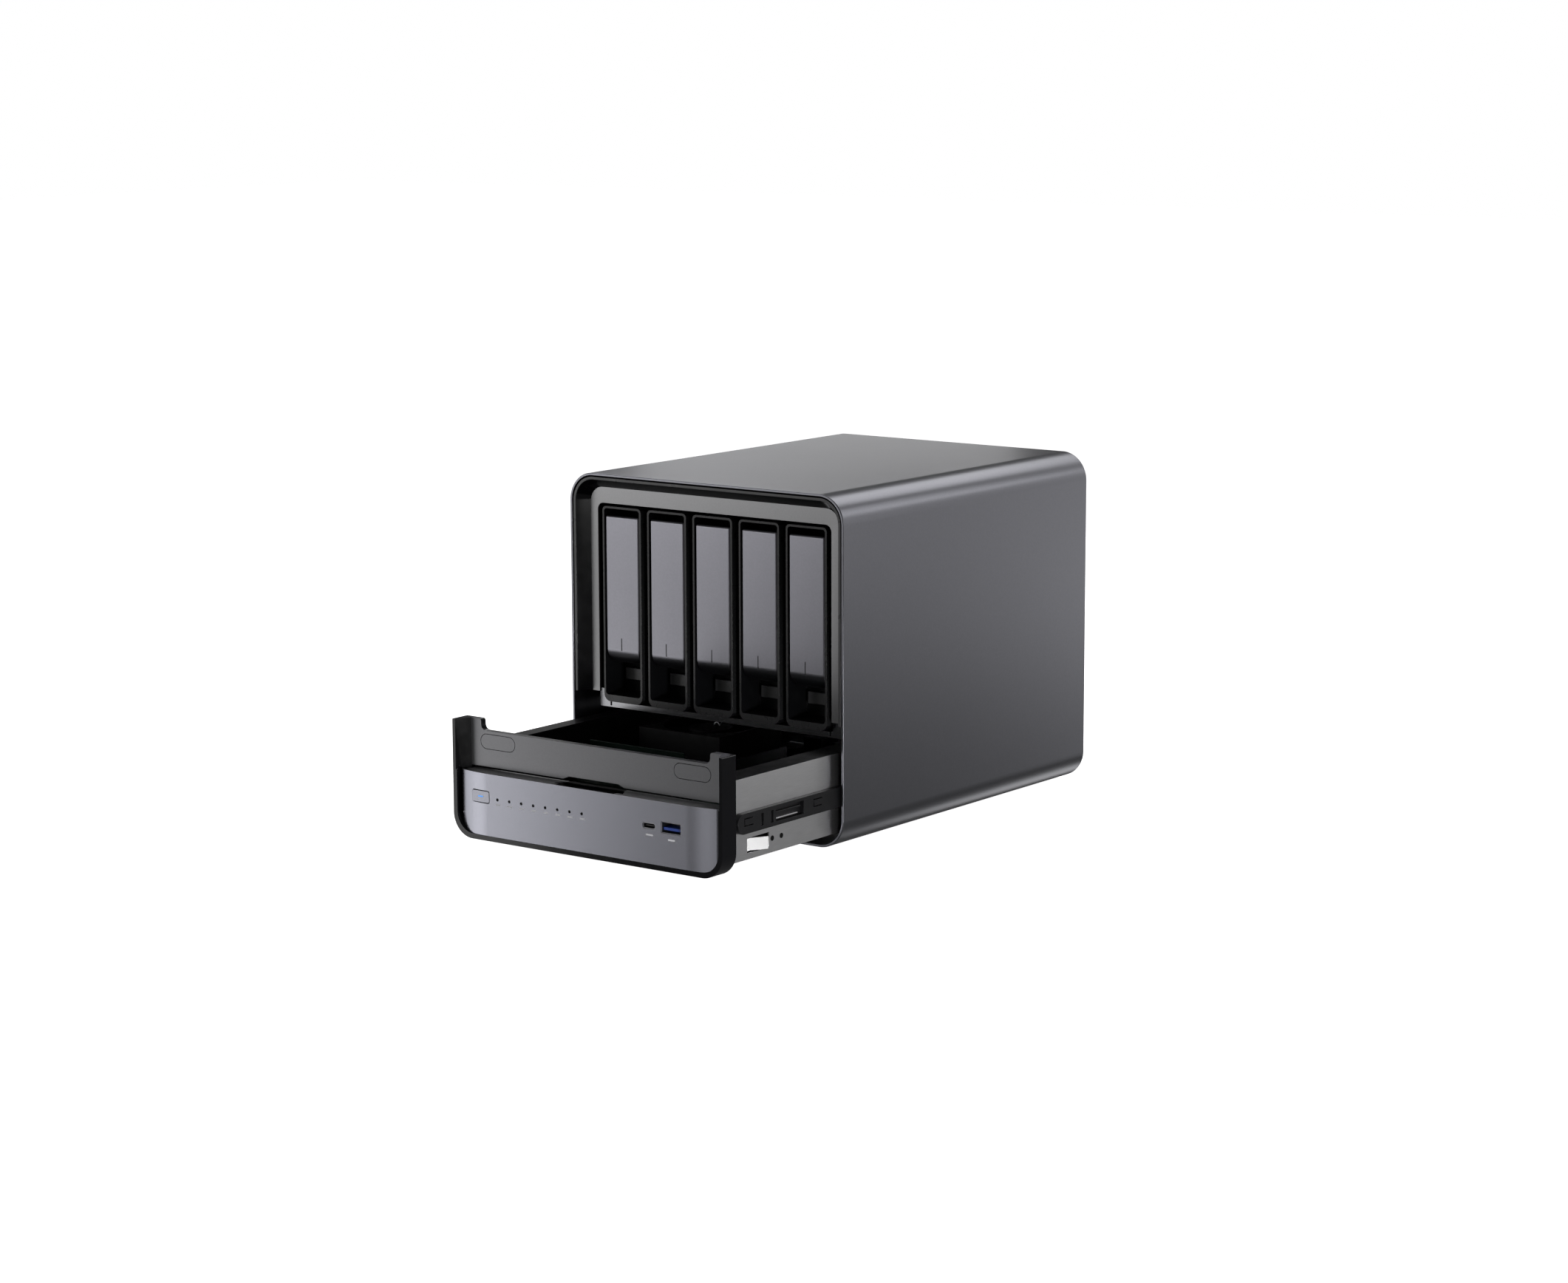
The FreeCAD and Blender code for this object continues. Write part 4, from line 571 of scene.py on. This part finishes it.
def hole_shade_plugs():
    """Black plugs that fill the two small holes in each side of the drawer, as painted shade for
    the holes.
    """
    low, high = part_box("drawer_tray")
    tab_low, tab_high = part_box("stop_tab_right")
    height = (tab_low.z + tab_high.z) / 2 + 0.4 * MM
    for side, word in ((-1, "left"), (1, "right")):
        face = high.x if side > 0 else low.x
        for index, beyond in enumerate((8.1, 16.5), start=1):
            turned("stud_%s_%d" % (word, index), (face, tab_high.y + beyond * MM, height), "x",
                   [(1.2 * MM, -side * 3 * MM), (1.2 * MM, -side * 1.2 * MM),
                    (1.5 * MM, -side * 0.1 * MM), (1.5 * MM, side * 0.1 * MM),
                    (1.2 * MM, side * 0.25 * MM)], "painted_shade_black", "compute_drawer")


hole_shade_plugs()


# ---------------------------------------------------------------- screws and boards
def islands(node):
    """The lowest corner, highest corner and vertices of each separate solid of a CAD node."""
    shape = bmesh.new()
    shape.from_mesh(NODES[node].data)
    bmesh.ops.remove_doubles(shape, verts=shape.verts, dist=WELD)
    shape.verts.index_update()
    seen, found = set(), []
    for first in shape.verts:
        if first.index in seen:
            continue
        seen.add(first.index)
        points, frontier = [], [first]
        while frontier:
            vertex = frontier.pop()
            points.append(vertex.co.copy())
            for link in vertex.link_edges:
                other = link.other_vert(vertex)
                if other.index not in seen:
                    seen.add(other.index)
                    frontier.append(other)
        low = Vector([min(point[k] for point in points) for k in range(3)])
        high = Vector([max(point[k] for point in points) for k in range(3)])
        found.append((low, high, points))
    shape.free()
    return sorted(found, key=lambda solid: [round(value, 5) for value in solid[0]])


def screws(node, axis, outward):
    """Screws with domed heads and six-sided sockets, in the places of the CAD ones."""
    along = "xyz".index(axis)
    shape = bmesh.new()
    for low, high, points in islands(node):
        centre = (low + high) / 2
        tip, top = (low[along], high[along]) if outward > 0 else (high[along], low[along])
        across = 0 if along != 0 else 1
        head = (high[across] - low[across]) / 2
        wide = [point[along] for point in points
                if abs(point[across] - centre[across]) > 0.9 * head]
        seat = min(wide) if outward > 0 else max(wide)
        centre[along] = 0
        socket = head * 0.45
        sections = [disc_loop(centre, head * 0.5, axis, tip),
                    disc_loop(centre, head * 0.5, axis, seat),
                    disc_loop(centre, head, axis, seat)]
        depth = abs(top - seat)
        for step in range(4):
            angle = math.radians(90 - 22.5 * step)
            reach = head - 0.35 * depth * (1 - math.sin(angle))
            sections.append(disc_loop(centre, reach, axis,
                                      top - outward * depth * (0.55 - 0.55 * math.cos(angle))))
        sections.append(disc_loop(centre, socket * 1.15, axis, top))
        sections.append(hex_loop(centre, socket, axis, top - outward * 0.1 * MM))
        sections.append(hex_loop(centre, socket, axis, top - outward * depth * 0.75))
        mesh = skin(sections, True, False)
        shape.from_mesh(mesh)
        bpy.data.meshes.remove(mesh)
    ends = [edge for edge in shape.edges if len(edge.link_faces) == 1]
    bmesh.ops.holes_fill(shape, edges=ends)
    bmesh.ops.recalc_face_normals(shape, faces=shape.faces)
    mesh = bpy.data.meshes.new(node)
    shape.to_mesh(mesh)
    shape.free()
    piece = new_piece(node + "_finished", mesh, SLOT_OF[node], BODY_OF[node])
    finish_mesh(piece, 30)
    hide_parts(node)


def hex_loop(centre, radius, axis, along, count=24):
    """Points of a six-sided outline about an axis, as many as disc_loop gives."""
    points = []
    for point in disc_loop((0, 0, 0), 1, axis, 0, count):
        flat = [value for value, name in zip(point, "xyz") if name != axis]
        turn = math.atan2(flat[1], flat[0]) % math.radians(60) - math.radians(30)
        reach = radius * math.cos(math.radians(30)) / math.cos(turn)
        place = Vector(centre) + Vector(point) * reach
        place["xyz".index(axis)] += along
        points.append(tuple(place))
    return points


def board_parts():
    """Chips, coils, capacitors, a coin cell and sockets on the boards of the drawer."""
    low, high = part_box("motherboard")
    # name, distances from the board's corner, width, depth and height in mm, material
    blocks = (("bridge_chip", 104, 132, 17, 17, 1.8, "fan_plastic"),
              ("network_chip_a", 63, 150, 9, 9, 1.0, "connector_black"),
              ("network_chip_b", 88, 150, 9, 9, 1.0, "connector_black"),
              ("storage_chip", 128, 152, 12, 12, 1.2, "connector_black"),
              ("sound_chip", 10, 146, 7, 7, 1.0, "connector_black"),
              ("memory_socket_a", 12, 12.6, 76, 3.2, 7.0, "connector_black"),
              ("memory_socket_b", 12, 28.0, 76, 3.2, 7.0, "connector_black"),
              ("front_socket", 112, 3, 22, 5, 6.0, "print_grey"),
              ("fan_socket", 84, 46, 8, 4, 6.0, "print_grey"))
    for name, x, y, wide, deep, tall, material in blocks:
        plain_box(name, (low.x + x * MM, low.y + y * MM, high.z - 0.05 * MM),
                  (low.x + (x + wide) * MM, low.y + (y + deep) * MM, high.z + tall * MM),
                  material, "compute_drawer", edge=0.25 * MM)
    for index in range(6):
        y = low.y + (62 + 10 * index) * MM
        plain_box("coil_%d" % (index + 1), (low.x + 1.5 * MM, y, high.z - 0.05 * MM),
                  (low.x + 8.5 * MM, y + 7 * MM, high.z + 4 * MM), "coil_grey",
                  "compute_drawer", edge=0.6 * MM)
        can = (low.x + 15 * MM, y + 3.5 * MM, high.z)
        turned("capacitor_%d" % (index + 1), can, "z",
               [(3.1 * MM, -0.05 * MM), (3.1 * MM, 0.9 * MM), (2.8 * MM, 1.2 * MM),
                (3.1 * MM, 1.5 * MM), (3.1 * MM, 7.4 * MM), (2.8 * MM, 7.8 * MM)],
               "heatsink_aluminium", "compute_drawer")
    turned("coin_cell", (low.x + 118 * MM, low.y + 158 * MM, high.z), "z",
           [(6.2 * MM, -0.05 * MM), (6.2 * MM, 2.0 * MM), (5.8 * MM, 2.4 * MM)],
           "port_steel", "compute_drawer", count=36)
    module_chips()


def module_chips():
    """Memory chips on both faces of each memory module, and chips on the storage modules."""
    count = 0
    for low, high, _ in islands("memory_modules"):
        chips, wide, tall, thick = 6, 9 * MM, 11 * MM, 0.9 * MM
        pitch = (high.x - low.x - 4 * MM) / chips
        for index in range(chips):
            x = low.x + 2 * MM + pitch * (index + 0.5) - wide / 2
            for y in (low.y - thick + 0.05 * MM, high.y - 0.05 * MM):
                count += 1
                plain_box("memory_chip_%d" % count, (x, y, high.z - tall - 3 * MM),
                          (x + wide, y + thick, high.z - 3 * MM), "connector_black",
                          "compute_drawer", edge=0.15 * MM)
    count = 0
    for low, high, _ in islands("ssd_modules"):
        middle = (low.x + high.x) / 2
        for start, long in ((10, 13), (27, 18), (50, 18)):
            count += 1
            plain_box("storage_module_chip_%d" % count,
                      (middle - 8 * MM, low.y + start * MM, high.z - 0.05 * MM),
                      (middle + 8 * MM, low.y + (start + long) * MM, high.z + 1.3 * MM),
                      "connector_black", "compute_drawer", edge=0.2 * MM)


def cage_clip():
    """A small wire spring under the cage's front lip."""
    low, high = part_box("drive_cage")
    path = []
    for step in range(13):
        angle = math.radians(15 * step)
        path.append(Vector((-1.5 * MM + 1.9 * MM * math.cos(angle), low.y + 0.5 * MM,
                            low.z - 2.1 * MM + 1.7 * MM * math.sin(angle))))
    back = Vector((0, 4 * MM, 2.6 * MM))
    path = [path[0] + back] + path + [path[-1] + back]
    wire = bpy.data.curves.new("cage_clip", "CURVE")
    wire.dimensions = "3D"
    wire.bevel_depth = 0.28 * MM
    wire.bevel_resolution = 3
    spline = wire.splines.new("POLY")
    spline.points.add(len(path) - 1)
    for point, place in zip(spline.points, path):
        point.co = (*place, 1)
    holder = bpy.data.objects.new("clip_path", wire)
    mesh = bpy.data.meshes.new_from_object(holder)
    bpy.data.objects.remove(holder)
    piece = new_piece("cage_clip", mesh, "bright_steel", "chassis")
    finish_mesh(piece)


screws("rear_screws", "y", 1)
board_parts()
cage_clip()

# CAD pieces whose edges are rounded over, and by how many millimetres
SOFTENED = {
    "rubber_feet": 0.8, "drive_cage": 0.15, "bay_guides": 0.3, "rear_frame": 0.3,
    "dock_socket": 0.4,
    "chassis_runner_left": 0.2, "chassis_runner_right": 0.2, "sata_connectors": 0.3,
    "drawer_front_frame": 0.5, "drawer_front_panel": 0.35, "fascia": 0.3, "power_button": 0.25,
    "release_button_left": 0.25, "release_button_right": 0.25, "drawer_tray": 0.45,
    "drawer_rail_left": 0.2, "drawer_rail_right": 0.2, "stop_tab_left": 0.12,
    "stop_tab_right": 0.12, "usb_c_port": 0.1, "usb_a_port": 0.1, "memory_modules": 0.15,
    "ssd_modules": 0.15, "rear_ports": 0.15, "power_inlet": 0.3, "dock_plug": 0.4,
    "rear_fan_frame_left": 0.5, "rear_fan_frame_right": 0.5, "cpu_fan_frame": 0.5,
    "cpu_heatsink": 0.15, "board_standoffs": 0.2,
}
SOFTENED.update(("tray_%d_carrier" % bay, 0.35) for bay in range(1, 6))
SOFTENED.update(("tray_%d_latch" % bay, 0.3) for bay in range(1, 6))


def split_across(shape, place, snap=0.0):
    """Cuts the faces of a mesh that cross a distance from its middle, side to side."""
    bmesh.ops.bisect_plane(shape, geom=shape.verts[:] + shape.edges[:] + shape.faces[:],
                           plane_co=(place, 0, 0), plane_no=(1, 0, 0), dist=snap)


def rolled_ends(piece, start, radius, strips=10):
    """Curves a plate's ends backwards, from a distance either side of its middle."""
    mesh = piece.data
    shape = bmesh.new()
    shape.from_mesh(mesh)
    end = max(vertex.co.x for vertex in shape.verts)
    for side in (-1, 1):
        for index in range(strips):
            place = side * (start + (end - start) * index / strips)
            split_across(shape, place, 0.001 * MM)
    for vertex in shape.verts:
        beyond = max(abs(vertex.co.x) - start, 0)
        vertex.co.y += beyond ** 2 / (2 * radius)
    shape.to_mesh(mesh)
    shape.free()


FINISHED = {}
for node_name, edge in SOFTENED.items():
    FINISHED[node_name] = soft_copy(node_name, edge * MM)


def paint(node, material, chosen):
    """Gives the faces whose centre is chosen a second material."""
    mesh = FINISHED[node].data
    mesh.materials.append(MATERIALS[material])
    for face in mesh.polygons:
        if chosen(face.center):
            face.material_index = len(mesh.materials) - 1


def paint_ports():
    """The ports' mouths are painted darker inside as painted shade, and their tongues are
    plastic.
    """
    for node, tongue_colour, inset, bottom, top in (
            ("usb_a_port", "blue_plastic", 0.9, -1.65, 0.05),
            ("usb_c_port", "connector_black", 1.6, -0.4, 0.4)):
        low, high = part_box(node)
        middle = (low + high) / 2

        def in_tongue(centre):
            return (low.y + 0.5 * MM < centre.y and
                    abs(centre.x - middle.x) < (high.x - low.x) / 2 - (inset - 0.1) * MM and
                    bottom * MM <= centre.z - middle.z <= top * MM)

        def in_mouth(centre):
            return (low.y + 0.1 * MM < centre.y < high.y - 0.1 * MM and
                    abs(centre.x - middle.x) < (high.x - low.x) / 2 - 0.3 * MM and
                    abs(centre.z - middle.z) < (high.z - low.z) / 2 - 0.3 * MM)

        paint(node, "port_mouth_painted_shade", in_mouth)
        paint(node, tongue_colour, in_tongue)


def paint_tray_shade():
    """The drawer's inside is painted black as painted shade, and the tops of its flanges black as
    a painted dark reflection.
    """
    low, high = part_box("drawer_tray")

    def inside(centre):
        return (low.z + 0.4 * MM < centre.z < high.z - 0.4 * MM and
                low.x + 0.6 * MM < centre.x < high.x - 0.6 * MM)

    def on_flange(centre):
        return centre.z > high.z - 0.05 * MM

    paint("drawer_tray", "painted_shade_black", inside)
    # The tops of the flanges are painted black, as a painted dark reflection.
    paint("drawer_tray", "black_plastic", on_flange)


def line_ledge():
    """The ledge in front of the panel is a satin grey, except at the scoop in its middle, which
    is painted black as painted shade.
    """
    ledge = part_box("fascia")[1].z
    scoop, near = 21 * MM, 0.15 * MM

    def beside_scoop(centre):
        return abs(centre.z - ledge) < near and abs(centre.x) > scoop

    def in_scoop(centre):
        return abs(centre.z - ledge) < near and abs(centre.x) < scoop

    for node in ("fascia", "drawer_front_frame"):
        mesh = FINISHED[node].data
        shape = bmesh.new()
        shape.from_mesh(mesh)
        for place in (-scoop, scoop):
            split_across(shape, place)
        shape.to_mesh(mesh)
        shape.free()
        paint(node, "ledge_grey", beside_scoop)
        # The scoop's faces are painted near-black, as painted shade in the notch.
        paint(node, "painted_shade_black", in_scoop)


def paint_pocket_shade():
    """The walls of each tray's finger pocket are painted black behind its satin rim, as painted
    shade in the recess.
    """
    for bay in range(1, 6):
        node = "tray_%d_carrier" % bay
        low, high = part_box(node)

        def in_pocket(centre):
            return (low.y + 0.7 * MM < centre.y < low.y + 25 * MM and
                    low.x + 0.5 * MM < centre.x < high.x - 0.5 * MM and
                    low.z + 0.5 * MM < centre.z < high.z - 0.5 * MM)

        paint(node, "pocket_painted_shade", in_pocket)


paint_ports()
paint_pocket_shade()
paint_tray_shade()
line_ledge()
rolled_ends(FINISHED["fascia"], 72 * MM, 85 * MM)

for node_name, node_object in NODES.items():
    node_object.data.materials.clear()
    node_object.data.materials.append(MATERIALS[SLOT_OF[node_name]])


# ---------------------------------------------------------------- studio
def floor():
    """A plain pale floor that throws no light or reflection on the object."""
    mesh = bpy.data.meshes.new("Floor")
    reach = 6.0
    corners = [(-reach, -reach, 0), (reach, -reach, 0), (reach, reach, 0), (-reach, reach, 0)]
    mesh.from_pydata(corners, [], [(0, 1, 2, 3)])
    piece = bpy.data.objects.new("Floor", mesh)
    bpy.context.scene.collection.objects.link(piece)
    material, _, shader = new_material("Floor", (0.9, 0.9, 0.9), 0.9)
    shader.inputs["Emission Color"].default_value = (1, 1, 1, 1)
    shader.inputs["Emission Strength"].default_value = 1.0
    mesh.materials.append(material)
    piece.visible_glossy = False
    piece.visible_shadow = False
    piece.visible_diffuse = False


def square_lamp(name, target, away, size, watts, cone=180):
    """A square lamp that faces a point from some way off, unseen by the camera."""
    light = bpy.data.lights.new(name, "AREA")
    light.shape = "SQUARE"
    light.size = size
    light.energy = watts
    light.spread = math.radians(cone)
    lamp = bpy.data.objects.new(name, light)
    lamp.location = target + away
    lamp.rotation_euler = away.to_track_quat("Z", "Y").to_euler()
    lamp.visible_camera = False
    bpy.context.scene.collection.objects.link(lamp)


def studio_light(name, azimuth, elevation, watts, size=0.35):
    """A soft box that faces the object."""
    distance = 1.2
    turn, rise = math.radians(azimuth), math.radians(elevation)
    away = Vector((math.sin(turn) * math.cos(rise), -math.cos(turn) * math.cos(rise),
                   math.sin(rise)))
    square_lamp(name, Vector((0, 0, 0.1)), away * distance, size, watts)


def tab_lamp():
    """A small lamp on the drawer's right side, which shows its white spring tab."""
    low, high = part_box("stop_tab_right")
    square_lamp("Tab lamp", (low + high) / 2, Vector((0.43, -0.25, 0.0)), 0.06, 0.055, 30)


def world():
    """A white backdrop for the camera, and a dim even light on the object."""
    backdrop = bpy.data.worlds.new("Studio")
    bpy.context.scene.world = backdrop
    backdrop.use_nodes = True
    tree = backdrop.node_tree
    background = tree.nodes["Background"]
    path = tree.nodes.new("ShaderNodeLightPath")
    value = tree.nodes.new("ShaderNodeMapRange")
    value.inputs["To Min"].default_value = 0.1
    value.inputs["To Max"].default_value = 1.0
    tree.links.new(path.outputs["Is Camera Ray"], value.inputs["Value"])
    tree.links.new(value.outputs["Result"], background.inputs["Strength"])
    background.inputs["Color"].default_value = (1, 1, 1, 1)


def camera():
    """The viewpoint: right of the front, a little above, as if from two metres away."""
    yaw, pitch, roll = 0.6459, 0.1684, -0.0029
    forward = Vector((-math.sin(yaw) * math.cos(pitch), math.cos(yaw) * math.cos(pitch),
                      -math.sin(pitch)))
    right = Vector((math.cos(yaw), math.sin(yaw), 0))
    up = right.cross(forward)
    turned_right = right * math.cos(roll) + up * math.sin(roll)
    turned_up = up * math.cos(roll) - right * math.sin(roll)
    lens = bpy.data.cameras.new("Camera")
    lens.lens = 85.24
    lens.sensor_width = 36
    lens.clip_start, lens.clip_end = 0.05, 100
    view = bpy.data.objects.new("Camera", lens)
    bpy.context.scene.collection.objects.link(view)
    axes = Matrix((turned_right, turned_up, -forward)).transposed().to_4x4()
    view.matrix_world = Matrix.Translation((1.30594, -1.72758, 0.47049)) @ axes
    bpy.context.scene.camera = view


floor()
world()
camera()
bpy.context.scene.view_settings.view_transform = "Standard"
# name, degrees round from the front towards the right, degrees up, watts, size in metres
for light in (("Front low", -45, -15, 0.72), ("Front middle", -45, 5, 0.86),
              ("Front near", -30, 5, 0.55), ("Front left", -62, -10, 0.45),
              ("Front right", -12, -12, 0.25), ("Left high", -125, 45, 4.0, 0.6),
              ("Left low", -145, 4, 0.6), ("Right middle", 122, 6, 1.1, 0.6),
              ("Right high", 140, 26, 0.68), ("Right low", 158, -12, 0.2),
              ("Right behind", 158, 6, 1.0, 0.7), ("Behind low", 176, -32, 0.45),
              ("Behind middle", 176, 26, 0.9, 0.6), ("Behind high", 176, 48, 1.9, 0.6),
              ("Right fill", 80, 5, 1.0), ("Left fill", -90, 10, 1.0), ("Overhead", 0, 88, 1.0)):
    studio_light(*light)
tab_lamp()
